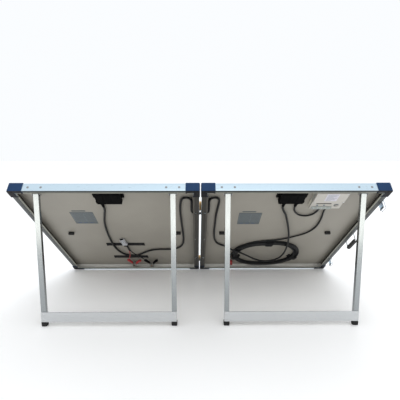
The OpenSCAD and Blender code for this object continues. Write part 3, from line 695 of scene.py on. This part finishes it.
bm = bmesh.new()
tube(bm, link_line, LINK_D / 2)
link_cable = piece("panel_link_cable", bm, "cable", None, angle=60,
                   replaces=("panel_cable_left", "panel_cable_right"))
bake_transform(link_cable)
jumper = cord_curve("jumper_cable", jumper_line, LEAD_D, "cable", "right_panel", "cable",
                    "controller_jumper")
output = cord_curve("output_cable", output_line, LEAD_D, "cable", "right_panel", "cable",
                    "output_lead", "output_coil", "output_tail")
red_cord = cord_curve("red_clip_cable", red_line, CLIP_LEAD_D, "red", "left_panel", "red_plastic",
                      "red_clip_lead")
black_cord = cord_curve("black_clip_cable", black_line, CLIP_LEAD_D, "cable", "left_panel", "cable",
                        "black_clip_lead")


# ---------------------------------------------------------------- frame rails
def rail_outline(flange):
    """The drawn section, u inwards from the outer wall, n up: grooves in the wall, a groove and
    a bead on the back flange, the glass ledge and the front lip."""
    return [
        (0, 0.5), (0.15, 0.15), (0.5, 0),
        (flange - 7.2, 0), (flange - 6.9, 0.6), (flange - 6.1, 0.6), (flange - 5.8, 0),
        (flange - 0.5, 0), (flange - 0.15, 0.15), (flange, 0.5),
        (flange, 2.9), (flange - 0.3, 3.2), (flange - 1.5, 3.2), (flange - 1.8, 2.9),
        (flange - 2.0, 1.8), (flange - 2.4, WALL), (2.2, WALL), (WALL, 2.2),
        (WALL, 22.1), (9.7, 22.1), (10, 22.4), (10, 23.4), (9.7, 23.7), (WALL, 23.7),
        (WALL, 28.4), (9.7, 28.4), (10, 28.7), (10, 29.5), (9.85, 29.85), (9.5, 30),
        (3.4, 30), (3.1, 29.6), (2.6, 29.6), (2.3, 30), (0.5, 30), (0.15, 29.85), (0, 29.5),
        (0, 25.4), (0.5, 25.1), (0.5, 24.5), (0, 24.2),
        (0, 6.4), (0.5, 6.1), (0.5, 5.5), (0, 5.2)]


def rail(bm, length, flange, matrix, inside, dark=1):
    """One rail with mitred ends; faces on the back flange take the darker colours, painted shade, with
    a lighter painted highlight on the edge except beside the hinge, and the ones inside the channel the
    last colour, painted shade or painted light."""
    outline = rail_outline(flange)
    part = bmesh.new()
    near = [part.verts.new((u, u, n)) for u, n in outline]
    far = [part.verts.new((u, length - u, n)) for u, n in outline]
    part.faces.new(near)
    part.faces.new(far[::-1])
    for i in range(len(outline)):
        j = (i + 1) % len(outline)
        f = part.faces.new((near[i], far[i], far[j], near[j]))
        mid = (Vector(outline[i]) + Vector(outline[j])) / 2
        f.material_index = 0
        if mid[1] < 0.62 and mid[0] > 0.4:
            f.material_index = dark + 1 if mid[0] > flange - 6 else dark
        elif mid[0] > flange - 2.6 and mid[1] < 3.3:
            f.material_index = dark + 1
        elif mid[0] > WALL - 0.1 and WALL < mid[1] < 23.75:
            f.material_index = inside
    bmesh.ops.recalc_face_normals(part, faces=part.faces)
    merge(bm, part, matrix)


def drill(obj, cuts):
    """Cuts round holes: each is (radius, a point, a direction), in the object's own axes, mm."""
    bm = bmesh.new()
    for radius, at, direction in cuts:
        lathe(bm, [(0, -4), (radius, -4), (radius, 4), (0, 4)], 28, 0, along(direction, at))
    bmesh.ops.scale(bm, vec=(MM, MM, MM), verts=bm.verts)
    cutter = bpy.data.objects.new("cut", mesh_of("cut", bm))
    SCENE.collection.objects.link(cutter)
    cutter.matrix_world = obj.matrix_world
    bpy.context.view_layer.update()
    mod = obj.modifiers.new("holes", "BOOLEAN")
    mod.operation, mod.solver, mod.object = "DIFFERENCE", "EXACT", cutter
    mod.material_mode = "TRANSFER"
    bpy.context.view_layer.update()
    ready = bpy.data.meshes.new_from_object(
        obj.evaluated_get(bpy.context.evaluated_depsgraph_get()))
    obj.modifiers.remove(mod)
    obj.data = ready
    ready.set_sharp_from_angle(angle=math.radians(32))
    bpy.data.objects.remove(cutter)


SIDES = (("left", -1), ("right", 1))
BOLT_HOLES = ((HALF_GAP + 14, 157), (HALF_GAP + 14, 606), (EDGE_X - 14, 159), (EDGE_X - 14, 608))
for side, way in SIDES:
    bm = bmesh.new()
    rail(bm, PANEL_L, 24, Matrix.Translation((HALF_GAP, 0, 0)), 5, 3)
    rail(bm, PANEL_L, 24, turn(180, "Z", (EDGE_X, PANEL_L, 0)), 5)
    rails = piece(f"{side}_side_frame", bm,
                  ["rail_s", "flange", "flange_lip", "flange_mid", "flange_mid", "rail_in"],
                  f"{side}_panel", mirror=way < 0,
                  replaces=(f"{side}_side_rails",))
    drill(rails, [(6, (way * HALF_GAP, GAP_S, GAP_N), (1, 0, 0))]
          + [(3.5, (way * x, s, 0), (0, 0, 1)) for x, s in BOLT_HOLES])
    bm = bmesh.new()
    rail(bm, PANEL_W, 18, turn(90, "Z", (EDGE_X, 0, 0)), 3)
    rail(bm, PANEL_W, 18, turn(-90, "Z", (HALF_GAP, PANEL_L, 0)), 3)
    piece(f"{side}_end_frame", bm, ["rail_x", "flange_x", "flange_lip", "rail_in_x"], f"{side}_panel",
          mirror=way < 0, replaces=(f"{side}_end_rails",))

# ---------------------------------------------------------------- CAD nodes that stay
KEPT = {
    "corner_caps": ("cap", 1.1), "junction_box": ("black", 0.6), "junction_lid": ("black", 0.6),
    "rating_plate": ("plate", 0.15), "leg_brackets": ("bracket", 0.3), "leg_pivots": ("bolt", 0.3),
    "leg_pads": ("pad", 1.2), "hinge_leaves": ("hinge", 0.2), "leg_tubes": ("leg", 1.2),
    "leg_crossbar": ("bar", 0.35), "glass": ("glass", 0.5),
    "cells": ("cell", 0), "backsheet": ("backsheet", 0)}
for side, way in SIDES:
    for part, (mat, bevel) in KEPT.items():
        finish_node(f"{side}_{part}", mat, bevel)
for name, mat, bevel in (
        ("hinge_pins", "hinge", 0.2), ("controller_body", "case", 1.2),
        ("controller_cover", "face", 1.2), ("controller_terminals", "terminal", 0.25),
        ("controller_button", "button", 0.6), ("output_connector", "red", 0.8),
        ("clip_connector", "grey_shell", 0.8), ("handle_brackets", "steel", 0.3),
        ("handle_bail", "steel", 0), ("latch_bases", "nickel", 0.3),
        ("upper_latch_lever", "nickel", 0.3), ("lower_latch_lever", "nickel", 0.3),
        ("latch_catches", "nickel", 0.3)):
    finish_node(name, mat, bevel)

# ---------------------------------------------------------------- rivets, screws and grommets
LEG_X = (MID_X + LEG_SHIFT - LEG_HALF, MID_X + LEG_SHIFT + LEG_HALF)


def dome(bm, at, direction, r, high):
    """A closed rivet head with a small dimple."""
    profile = [(0, 0), (r, 0), (r, 0.15 * high), (r * 0.93, 0.5 * high), (r * 0.75, 0.82 * high),
               (r * 0.45, high), (r * 0.2, high), (r * 0.14, 0.8 * high), (0, 0.78 * high)]
    lathe(bm, profile, matrix=along(direction, at))


def screw(bm, at, direction, r, high, mat=0):
    """A pan head with a cross recess drawn as two crossed bars of the next material, a painted shade
    standing in for the shade inside the recess.
    """
    lathe(bm, [(0, 0), (r, 0), (r, 0.4 * high), (r * 0.8, 0.85 * high), (r * 0.5, high),
               (0, high)], 24, mat, along(direction, at))
    for a in (0, 90):
        box(bm, (-r * 0.62, -r * 0.11, high - 0.25), (r * 0.62, r * 0.11, high + 0.06), 0, 1, mat + 1,
            along(direction, at) @ turn(a + 45))


for side, way in SIDES:
    bm = bmesh.new()
    for x in LEG_X:
        for k in (-1, 1):
            dome(bm, (x + k * 22.5, 0, 14), (0, -1, 0), 4.25, 1.75)
    for s in (HANDLE_S, 623):
        dome(bm, (HALF_GAP + 16.5, s, 0), (0, 0, -1), 2.4, 1.1)
    for s in (280, 500):
        dome(bm, (EDGE_X - 14.5, s, 0), (0, 0, -1), 2.0, 0.9)
    piece(f"{side}_frame_rivets", bm, "rivet", f"{side}_panel", mirror=way < 0)
    bm = bmesh.new()
    for s in (8.5, PANEL_L - 8.5):
        for edge, inward in ((HALF_GAP, 1), (EDGE_X, -1)):
            screw(bm, (edge + inward * 9, s, -2), (0, 0, -1), 3.2, 1.5)
            screw(bm, (edge + inward * 12, s, 32), (0, 0, 1), 2.6, 0.9)
    piece(f"{side}_cap_screws", bm, ["bracket", "dark"], f"{side}_panel",
          mirror=way < 0)
    bm = bmesh.new()
    ring = [(4.5, -1.6), (6.4, -1.6), (6.8, -1.2), (6.8, -0.5), (6.0, -0.3), (6.0, 1.7), (7.4, 1.9),
            (7.4, 2.6), (7.0, 3.0), (4.5, 3.0), (4.5, -1.6)]
    lathe(bm, ring, 28, 0, along((1, 0, 0), (HALF_GAP, GAP_S, GAP_N)))
    piece(f"{side}_cable_grommet", bm, "foot", f"{side}_panel", mirror=way < 0)

# ---------------------------------------------------------------- junction box details
def strain_relief(bm, head, stop, rib, pitch, groove, bore, lip, mat, matrix):
    """A tapered sleeve round a cord: head is its profile up to the first of its ribs."""
    sleeve = [(bore, head[0][1])] + head
    r, z = head[-1]
    while z < stop:
        sleeve += [(r, z), (r, z + rib), (r - groove, z + rib + 0.3), (r - groove, z + pitch - 0.3)]
        z, r = z + pitch, r - 0.16
    sleeve += [(bore + lip, z + 0.3), (bore, z + 0.5), sleeve[0]]
    lathe(bm, sleeve, 24, mat, matrix)


OUTLETS = {"left": ((366, LINK_D),), "right": ((314, LINK_D), (360, LEAD_D))}
for side, way in SIDES:
    bm = bmesh.new()
    for x, d in OUTLETS[side]:
        at = along((0, 1, 0), (x, 98, 14))
        nut = [(8.4 * (1 if k % 2 else 0.93) * math.cos(a), 8.4 * (1 if k % 2 else 0.93) * math.sin(a))
               for k, a in enumerate(angles(24))]
        prism(bm, nut, 0.2, 8.0, 0.5, 2, 0, at)
        head = [(7.2, 7.5), (7.2, 9.4), (6.6, 10), (6.4, 12.6), (5.9, 13.2)]
        strain_relief(bm, head, 30, 1.5, 2.9, 0.55, d / 2 + 0.05, 0.3, 0, at)
    for k in (-1, 1):
        for s in (40, 84):
            x = MID_X + k * 45.6
            box(bm, (x - 1.6, s - 7, 3.2), (x + 1.6, s + 7, 14), 0.7, 2)
            box(bm, (x + k * 1.2 - 0.9, s - 4.5, 5), (x + k * 1.2 + 0.9, s + 4.5, 8), 0.5, 2)
        screw(bm, (MID_X + k * 51.5, 62, 18), (0, 0, -1), 3.0, 1.6, 0)
    for k in range(-3, 4):
        box(bm, (MID_X + k * 12 - 1, 22.8, 9), (MID_X + k * 12 + 1, 26.4, 22), 0.5, 2)
    for s in (28, 93.8):
        box(bm, (MID_X - 43, s, 3.3), (MID_X + 43, s + 2.2, 4.4), 0.5, 2)
    piece(f"{side}_junction_details", bm, ["black", "dark"], f"{side}_panel",
          mirror=way < 0)

# ---------------------------------------------------------------- rating plates, with no lettering
for side, x0, s0 in (("left", -471, 190), ("right", 202, 198)):
    bm = bmesh.new()
    n = BACK_N - 0.5
    box(bm, (x0 - 46, s0, n - 0.08), (x0 + 46, s0 + 97, n + 0.3), 0.06, 1, 0)
    for h in range(13, 77, 9):
        box(bm, (x0 - 42, s0 + h, n - 0.14), (x0 + 42, s0 + h + 0.7, n), 0, 1, 2)
    for x in (-42.4, 4, 41.7):
        box(bm, (x0 + x, s0 + 13, n - 0.14), (x0 + x + 0.7, s0 + 76.7, n), 0, 1, 2)
    for x in (-32, -8, 16):
        prism(bm, rounded(15, 6, 1, x0 + x + 4, s0 + 88), n - 0.2, n, 0.05, 1, 1)
    box(bm, (x0 - 34, s0 - 13, n - 0.05), (x0 + 20, s0 - 5, n + 0.3), 0.06, 1, 0)
    piece(f"{side}_rating_label", bm, ["plate", "mark", "rule"], f"{side}_panel",
          replaces=(f"{side}_rating_plate",))

# ---------------------------------------------------------------- controller details
bm = bmesh.new()
prism(bm, rounded(44, 46, 2, 471, 48), -0.35, 0.1, 0.12, 1, 0)
for k, width in enumerate((36, 30, 34, 22, 36, 28, 33, 18)):
    box(bm, (453, 29.5 + 5.2 * k, -0.46), (453 + width, 31.3 + 5.2 * k, 0), 0, 1, 1)
box(bm, (430, 95, 4.3), (486, 99, 5.1), 0.2, 1, 2)
for x in (416.5, 522.5):
    for s in (26.5, 79.5):
        screw(bm, (x, s, 0), (0, 0, -1), 2.6, 0.9, 3)
for k in range(8):
    for x in (411.6, 527.4):
        box(bm, (x - 0.35, 34 + 7 * k, 11), (x + 0.35, 36 + 7 * k, 19), 0.2, 1, 1)
box(bm, (411.2, 20.8, 8.6), (527.8, 132.6, 9.4), 0.3, 1, 2)
for x in (457, 481):
    head = [(5.9, -3), (6.3, -2.4), (6.3, 1.4), (5.6, 2), (5.2, 3)]
    strain_relief(bm, head, 17, 1.3, 2.6, 0.5, LEAD_D / 2 + 0.05, 0.25, 2,
                  along((0, 1, 0), (x, 132, 14)))
for k in range(5):
    lathe(bm, [(0, 0), (3.1, 0), (3.1, 0.3), (2.6, 0.8), (0, 0.9)], 20, 3,
          along((0, 0, -1), (426 + 15 * k, 123, 1.3)))
    # painted shade: each slot is a thin bar of the dark colour on the head, not a cut
    box(bm, (423.2 + 15 * k, 122.6, 0.25), (428.8 + 15 * k, 123.4, 0.5), 0, 1, 4)
for k in range(6):
    box(bm, (417.8 + 14.6 * k, 115.6, 0.1), (418.8 + 14.6 * k, 130.4, 1.5), 0.2, 1, 5)
for x in (436, 462):
    prism(bm, rounded(7, 6, 2.8, x, 108), 4.2, 5.2, 0.2, 1, 6)
ring = [(7.4, 0), (9.2, 0), (9.2, 0.7), (8.6, 1.1), (7.4, 1.1), (7.4, 0)]
lathe(bm, ring, 32, 1, along((0, 0, -1), (507, 108, 5)))
piece("controller_details", bm,
      ["face_label", "rule", "black", "steel", "dark", "terminal",
       "mark_blue"], "right_panel")


# ---------------------------------------------------------------- straps
def ribbon(bm, profile, wide, thick, matrix, wave, seed):
    """A woven band along a smooth profile of (u, n), standing proud on its -n side, with
    slightly wavy edges."""
    line = spline([(u, 0, n) for u, n in profile], 2.2)
    across = 10
    sections = []
    for i, p in enumerate(line):
        d = heading(line, i)
        up = Vector((d.z, 0, -d.x))
        section = []
        for face in (0, 1):
            for j in range(across + 1):
                v = (j / across - 0.5) if face == 0 else (0.5 - j / across)
                edge = 1 - (2 * abs(v)) ** 6
                sway = noise.noise(Vector((p.x * 0.035 + seed, v * 2.0, seed * 3.1))) * wave * 4
                half = wide / 2 + noise.noise(Vector((p.x * 0.09, seed, 0.0))) * 0.5
                lift = thick * (0.5 + 0.5 * edge) * (1 if face == 0 else 0)
                section.append(p + up * (lift + sway) + Vector((0, 2 * v * half, 0)))
        sections.append(section)
    loft(bm, sections, 0, matrix)


def stitches(bm, u, wide, n, matrix):
    """A row of thread stitches across the band."""
    count = int(wide / 3.2)
    for k in range(count):
        v = (k + 0.5) / count * wide - wide / 2
        box(bm, (u - 0.35, v - 1.0, n - 0.3), (u + 0.35, v + 1.0, n + 0.3), 0.15, 1, 1, matrix)


bm = bmesh.new()
hug = [(-27.4, 22.9), (-21.5, 22.6), (-18.8, 20.5), (-18.0, 17), (-17.2, 11.6), (-13.6, 9.0),
       (-4, 8.6), (6, 8.9), (13.6, 9.2), (17.2, 11.6), (18.0, 17), (18.8, 20.5), (21.5, 22.6),
       (27.4, 22.9)]
BAND_R, BAND_ANGLE = 127.4, 18       # the bands sit on the coil's middle radius
reach = COIL_STRAIGHT / 2 + BAND_R * math.cos(math.radians(BAND_ANGLE))
low_s = COIL_CENTRE[1] + BAND_R * math.sin(math.radians(BAND_ANGLE))
for seed, (x, s, angle, wide) in enumerate((
        (COIL_CENTRE[0], COIL_CENTRE[1] - BAND_R, 90, 36),
        (COIL_CENTRE[0] + reach, low_s, BAND_ANGLE, 30),
        (COIL_CENTRE[0] - reach, low_s, -BAND_ANGLE, 30))):
    where = turn(angle, at=(x, s, 0))
    ribbon(bm, hug, wide - 2, 1.3, where, 0.12, seed * 1.7)
    ribbon(bm, [(-1, 7.9), (6, 7.4), (13, 7.7), (18.5, 9.1), (22, 12.2)], wide - 6, 1.1, where, 0.1,
           seed + 5.0)
    stitches(bm, -24.5, wide - 8, 22.0, where)
    stitches(bm, 24.5, wide - 8, 22.0, where)
piece("coil_bands", bm, ["strap", "thread"], "right_panel", angle=50,
      replaces=("coil_straps",))
bm = bmesh.new()
for seed, (x0, x1, s) in enumerate(((-436, -262, 497), (-432, -265, 650))):
    half = (x1 - x0) / 2
    flat = [(-half - 1.5, 20.4), (-half - 2.2, 21.8), (-half, 23.2), (-half + 8, 23.7)]
    flat = flat + [(u, 23.8) for u in (-half + 24, -40, 0, 40, half - 24)] + [
        (half - 8, 23.7), (half, 23.0), (half + 2.4, 21.7), (half + 1.4, 20.3)]
    where = turn(0, at=((x0 + x1) / 2, s, 0))
    ribbon(bm, flat, 31, 1.0, where, 0.012, seed * 2.3 + 9)
    for u in (-half + 14, half - 14):
        stitches(bm, u, 24, 22.7, where)
piece("cable_bands", bm, ["strap", "thread"], "left_panel", angle=50,
      replaces=("cable_straps",))


# ---------------------------------------------------------------- the clip leads' connector
bm = bmesh.new()
prism(bm, rounded(20.6, 42, 3.2, 0, -13), 10.2, 21.8, 1.3, 3, 0)
prism(bm, rounded(24.6, 10, 2.6, 0, 13), 9.1, 22.3, 1.2, 3, 0)
prism(bm, rounded(18.8, 16, 3.5, 0, 26), 10.6, 21.9, 1.4, 3, 2)
for k in (-1, 1):
    for w in (-29, -20, -11):
        box(bm, (k * 5 - 3.1, w - 2.6, 9.3), (k * 5 + 3.1, w + 2.6, 10.8), 0.5, 2, 1)
        box(bm, (k * 5 - 1.1, w - 1.5, 9.15), (k * 5 + 1.1, w + 1.5, 9.5), 0.1, 1, 2)
    box(bm, (k * 10.4 - 0.5, -28, 13.4), (k * 10.4 + 0.5, 4, 18.6), 0.4, 2, 0)
    lathe(bm, [(2.2, -1), (3.6, -1), (3.6, 3.4), (2.9, 6), (2.2, 6.2), (2.2, -1)], 20, 2,
          along((0, 1, 0), (k * 2.55, 33.5, 16)))
for w in (-2, 1.6, 5.2):
    box(bm, (-9.4, w - 0.7, 9.8), (9.4, w + 0.7, 10.6), 0.3, 1, 0)
for w in (21, 24.4, 27.8):
    box(bm, (-9.8, w - 0.8, 10.2), (9.8, w + 0.8, 22.1), 0.4, 1, 2)
box(bm, (-7.6, -34.6, 12.4), (7.6, -33.4, 19.6), 0.3, 1, 2)
piece("lead_connector", bm, ["grey_shell", "nickel", "black"], "left_panel",
      matrix=PLACE @ turn(-10, at=Vector((-350, 464, 0)) * MM), replaces=("clip_connector",))
bm = bmesh.new()
core = [(a + b) / 2 for a, b in zip(spline(RED_ROUTE[:4], 3), spline(BLACK_ROUTE[:4], 3))][:20]
sections = []
for i, p in enumerate(core):
    d = heading(core, i)
    out = Vector((d.y, -d.x, 0)).normalized()
    swell = min(1.0, 0.82 + 0.09 * i, 0.82 + 0.09 * (len(core) - 1 - i))
    sections.append([p + (out * (5.1 * math.cos(a)) + Vector((0, 0, 3.0 * math.sin(a)))) * swell
                     for a in angles(20)])
loft(bm, sections)
piece("lead_sleeve", bm, "cable", "left_panel")


# ---------------------------------------------------------------- battery clips
CLIP_N, CLIP_MID = (3.6, 15.1), 9.35


def flattened(value):
    """A sine or cosine pushed outwards, which turns an oval into a rounded box."""
    return math.copysign(abs(value) ** 0.7, value)


def clip_half(bm, layers):
    """One half of a battery clip: a ribbed vinyl grip over a stamped, toothed steel jaw."""
    line = spline([(-51.5, 29.6, 0), (-48, 29.2, 0), (-41, 26.0, 0), (-30, 20.0, 0), (-17, 13.6, 0),
                   (-6, 10.8, 0), (-2, 10.3, 0)], 1.1)
    sections = []
    for i, p in enumerate(line):
        d = heading(line, i)
        side_way = Vector((-d.y, d.x, 0))
        share = i / (len(line) - 1)
        half_v = 6.6 - 0.6 * share - 3.0 * share ** 2.5
        half_n = 5.5 - 0.35 * share
        if 0.12 < share < 0.78:
            half_v += 0.45 * math.cos(i * 2 * math.pi / 3.0)
        closing = min(1.0, 0.35 + i * 0.3, 0.55 + (len(line) - 1 - i) * 0.3)
        sections.append([p + side_way * (half_v * closing * flattened(math.cos(a)))
                         + Vector((0, 0, CLIP_MID + half_n * closing * flattened(math.sin(a))))
                         for a in angles(20)])
    loft(bm, sections)
    teeth = []
    for k in range(5):
        teeth += [(44.6 - 3.2 * k, 0.6 + 0.16 * k), (43.0 - 3.2 * k, 2.3 + 0.16 * k)]
    jaw = ([(-12, 11.2), (-10, 12.8), (-4, 12.9), (10, 11.8), (24, 8.9), (34, 5.9), (41, 5.2),
            (45, 7.4), (46.6, 7.2), (46.8, 3.0), (46.4, 0.8)] + teeth
           + [(28, 2.9), (18, 5.2), (8, 7.2), (-8, 8.6)])
    for low, high in layers:
        prism(bm, jaw, low, high, 0.2, 1, 1)
        prism(bm, [(5.9 * math.cos(a), 5.9 * math.sin(a)) for a in angles(24)], low, high, 0.25, 1, 1)
        box(bm, (-4.6, 1, low), (4.6, 10, high), 0.2, 1, 1)
    web = [(-8, 12.6), (10, 11.6), (24, 8.7), (34, 5.8), (41, 5.1)]
    outer = [(x, y + 0.9) for x, y in web]
    prism(bm, web + outer[::-1], layers[0][0] + 0.2, layers[-1][1] - 0.2, 0.2, 1, 1)
    strip = [(14, 6.6), (26, 3.9), (33, 2.7), (40, 2.2), (40, 3.0), (33, 3.6), (26, 4.9), (14, 7.6)]
    prism(bm, strip, CLIP_MID - 2.6, CLIP_MID + 2.6, 0.2, 1, 2)


def clip(name, x, s, angle, colour, moving_body):
    """A battery clip with its pivot at x, s: its fixed half, then its moving half."""
    frame_of = PLACE @ turn(90 + angle, at=Vector((x, s, 0)) * MM)
    low, high = CLIP_N
    bm = bmesh.new()
    clip_half(bm, ((low, low + 1.4), (high - 1.4, high)))
    lathe(bm, [(0, low - 0.7), (2.2, low - 0.7), (2.8, low - 0.2), (2.8, low + 0.1),
               (1.7, low + 0.2), (1.7, high - 0.2), (2.8, high - 0.1), (2.8, high + 0.2),
               (2.2, high + 0.7), (0, high + 0.7)], 20, 1)
    coil = [(3.6 * math.cos(a), 3.6 * math.sin(a), CLIP_MID - 2 + 0.155 * a)
            for a in (2 * math.pi * k / 16 for k in range(66))]
    tube(bm, coil, 0.45, 8, 1)
    tube(bm, [coil[-1], (-6, 5.5, CLIP_MID + 1.9), (-14, 8.6, CLIP_MID + 1.7)], 0.45, 8, 1)
    tube(bm, [coil[0], (-6, -5.5, CLIP_MID - 2.1), (-14, -8.6, CLIP_MID - 1.8)], 0.45, 8, 1)
    fixed = piece(f"{name}_clip_fixed", bm, [colour, "clip_steel", "copper"], "left_panel",
                  matrix=frame_of, replaces=(f"{name}_clip_fixed_jaw",))
    bm = bmesh.new()
    clip_half(bm, ((low + 1.7, low + 3.0), (high - 3.0, high - 1.7)))
    bmesh.ops.scale(bm, vec=(1, -1, 1), verts=bm.verts)
    bmesh.ops.reverse_faces(bm, faces=bm.faces)
    moving = piece(f"{name}_clip_moving", bm, [colour, "clip_steel", "copper"], moving_body,
                   matrix=frame_of, replaces=(f"{name}_clip_moving_jaw",))
    return [fixed, moving]


red_clip = clip("red", -341, 712, 9, "red", "red_jaw")
black_clip = clip("black", -250, 713, 2, "black", "black_jaw")

# ---------------------------------------------------------------- handle grip
bm = bmesh.new()
profile = [(2.7, -38), (6.4, -38), (7.8, -37.2), (8.4, -36), (8.4, -33.4), (7.6, -32.8)]
for k in range(-6, 7):
    c = k * 4.9
    profile += [(7.7, c - 2.0), (8.9, c - 1.3), (8.9, c + 1.3), (7.7, c + 2.0)]
profile += [(7.6, 32.8), (8.4, 33.4), (8.4, 36), (7.8, 37.2), (6.4, 38), (2.7, 38), (2.7, -38)]
lathe(bm, profile, 36, 0, along((0, 1, 0), (EDGE_X + 6, HANDLE_S, 11 - 36)))
piece("handle_sleeve", bm, "grip", "handle", replaces=("handle_grip",))
bm = bmesh.new()
for k in (-1, 1):
    for dn in (-5.4, 5.4):
        for ds in (-10, 10):
            dome(bm, (EDGE_X + 1.7, HANDLE_S + k * 50 + ds, 11 + dn), (1, 0, 0), 1.9, 0.9)
for s in LATCH_S:
    for ds in (-11.5, 11.5):
        dome(bm, (EDGE_X + 1.7, s + ds, 11.5), (1, 0, 0), 1.8, 0.8)
piece("fitting_rivets", bm, "rivet", "right_panel")
bm = bmesh.new()
for s in LATCH_S:
    for ds in (-9, 0, 9):
        dome(bm, (-EDGE_X - 1.7, s + ds, 23.5), (-1, 0, 0), 1.8, 0.8)
piece("catch_rivets", bm, "rivet", "left_panel")

# ---------------------------------------------------------------- feet
LEAN = math.radians(1.5)
FOOT = ((0, 3.2), (0.35, 1.9), (1.1, 0.9), (2.4, 0.2), (3.6, 0), (5.6, 0), (6.0, 0.8), (6.9, 0.8),
        (7.3, 0), (9.0, 0), (9.4, 0.8), (10.3, 0.8), (10.7, 0), (12.4, 0), (12.8, 0.8), (13.7, 0.8),
        (14.1, 0), (16.4, 0), (17.0, 0.5), (17.0, 1.5))      # height, and how far in from the outline
for side, way in SIDES:
    pivot = Vector(JOINTS[f"{side}_leg_fold"]["pos_m"])
    leg_len = (pivot.z - 0.0093 * math.sin(LEAN)) / math.cos(LEAN)
    up_leg = Vector((0, math.sin(LEAN), math.cos(LEAN)))
    back = Vector((0, math.cos(LEAN), -math.sin(LEAN)))
    base = Vector((row(way * MID_X, 0, 0).x, pivot.y, pivot.z)) - up_leg * leg_len
    leg_frame = Matrix(((1, 0, 0, base.x), (0, back.y, up_leg.y, base.y),
                        (0, back.z, up_leg.z, base.z), (0, 0, 0, 1)))
    bm = bmesh.new()
    for x in LEG_X:
        loft(bm, [[(px, py, z) for px, py in rounded(21.4 - 2 * inset, 18.6 - 2 * inset,
                                                     max(1.0, 4 - inset), way * (x - MID_X))]
                  for z, inset in FOOT])
    piece(f"{side}_rubber_feet", bm, "foot", f"{side}_legs", matrix=leg_frame,
          replaces=(f"{side}_leg_feet",))

# ---------------------------------------------------------------- cell ribbons
for side, way in SIDES:
    bm = bmesh.new()
    top = 25.22
    for column in range(4):
        for bar in range(5):
            x = CELLS_X + (column + 0.5) * CELL_W + (bar - 2) * CELL_W / 5
            box(bm, (x - 0.6, 20, top - 0.12), (x + 0.6, PANEL_L - 20, top), 0, 1, 0)
    for s, spans in ((17.5, ((0, 2), (2, 4))), (PANEL_L - 17.5, ((0, 1), (1, 3), (3, 4)))):
        for a, b in spans:
            box(bm, (CELLS_X + a * CELL_W + 14, s - 2.5, top - 0.3),
                (CELLS_X + b * CELL_W - 14, s + 2.5, top - 0.05), 0, 1, 0)
    piece(f"{side}_cell_ribbons", bm, "ribbon", f"{side}_panel", mirror=way < 0)

# ---------------------------------------------------------------- stage and light
t = Nodes("floor")
t.set(Base_Color=t.ramp(t.noise(t.coords(), 3), (0.94, 0.94, 0.94), (0.96, 0.96, 0.96)),
      Roughness=0.7, Emission_Color=(1.0, 1.0, 1.0), Emission_Strength=0.085)
floor_mesh = bpy.data.meshes.new("floor")
floor_mesh.from_pydata([(-12, -12, 0), (12, -12, 0), (12, 12, 0), (-12, 12, 0)], [], [(0, 1, 2, 3)])
floor_mesh.materials.append(t.mat)
floor = bpy.data.objects.new("floor", floor_mesh)
SCENE.collection.objects.link(floor)

world = bpy.data.worlds.new("world")
SCENE.world = world
world.use_nodes = True
world.node_tree.nodes["Background"].inputs["Color"].default_value = (0.96, 0.98, 1.0, 1)
world.node_tree.nodes["Background"].inputs["Strength"].default_value = 1.0


def area_light(name, at, aim, size, power, colour):
    data = bpy.data.lights.new(name, "AREA")
    data.shape = "RECTANGLE"
    data.size, data.size_y = size
    data.energy = power
    data.color = colour
    light = bpy.data.objects.new(name, data)
    light.location = at
    light.rotation_euler = (Vector(aim) - Vector(at)).to_track_quat("-Z", "Y").to_euler()
    SCENE.collection.objects.link(light)
    return light


area_light("key", (0.2, -2.5, 3.0), (0, 0, 0.3), (2.5, 2.5), 22, (1.0, 0.99, 0.97))
area_light("back", (1.2, 2.6, 2.6), (0, 0, 0.3), (2.5, 2.5), 30, (0.97, 0.99, 1.0))
card = area_light("card", (0, -1.56, 0.24), (0, 0, 0.26), (3.4, 0.46), 11, (1.0, 0.965, 0.85))
card.visible_diffuse = False
SCENE.view_settings.view_transform = "Standard"
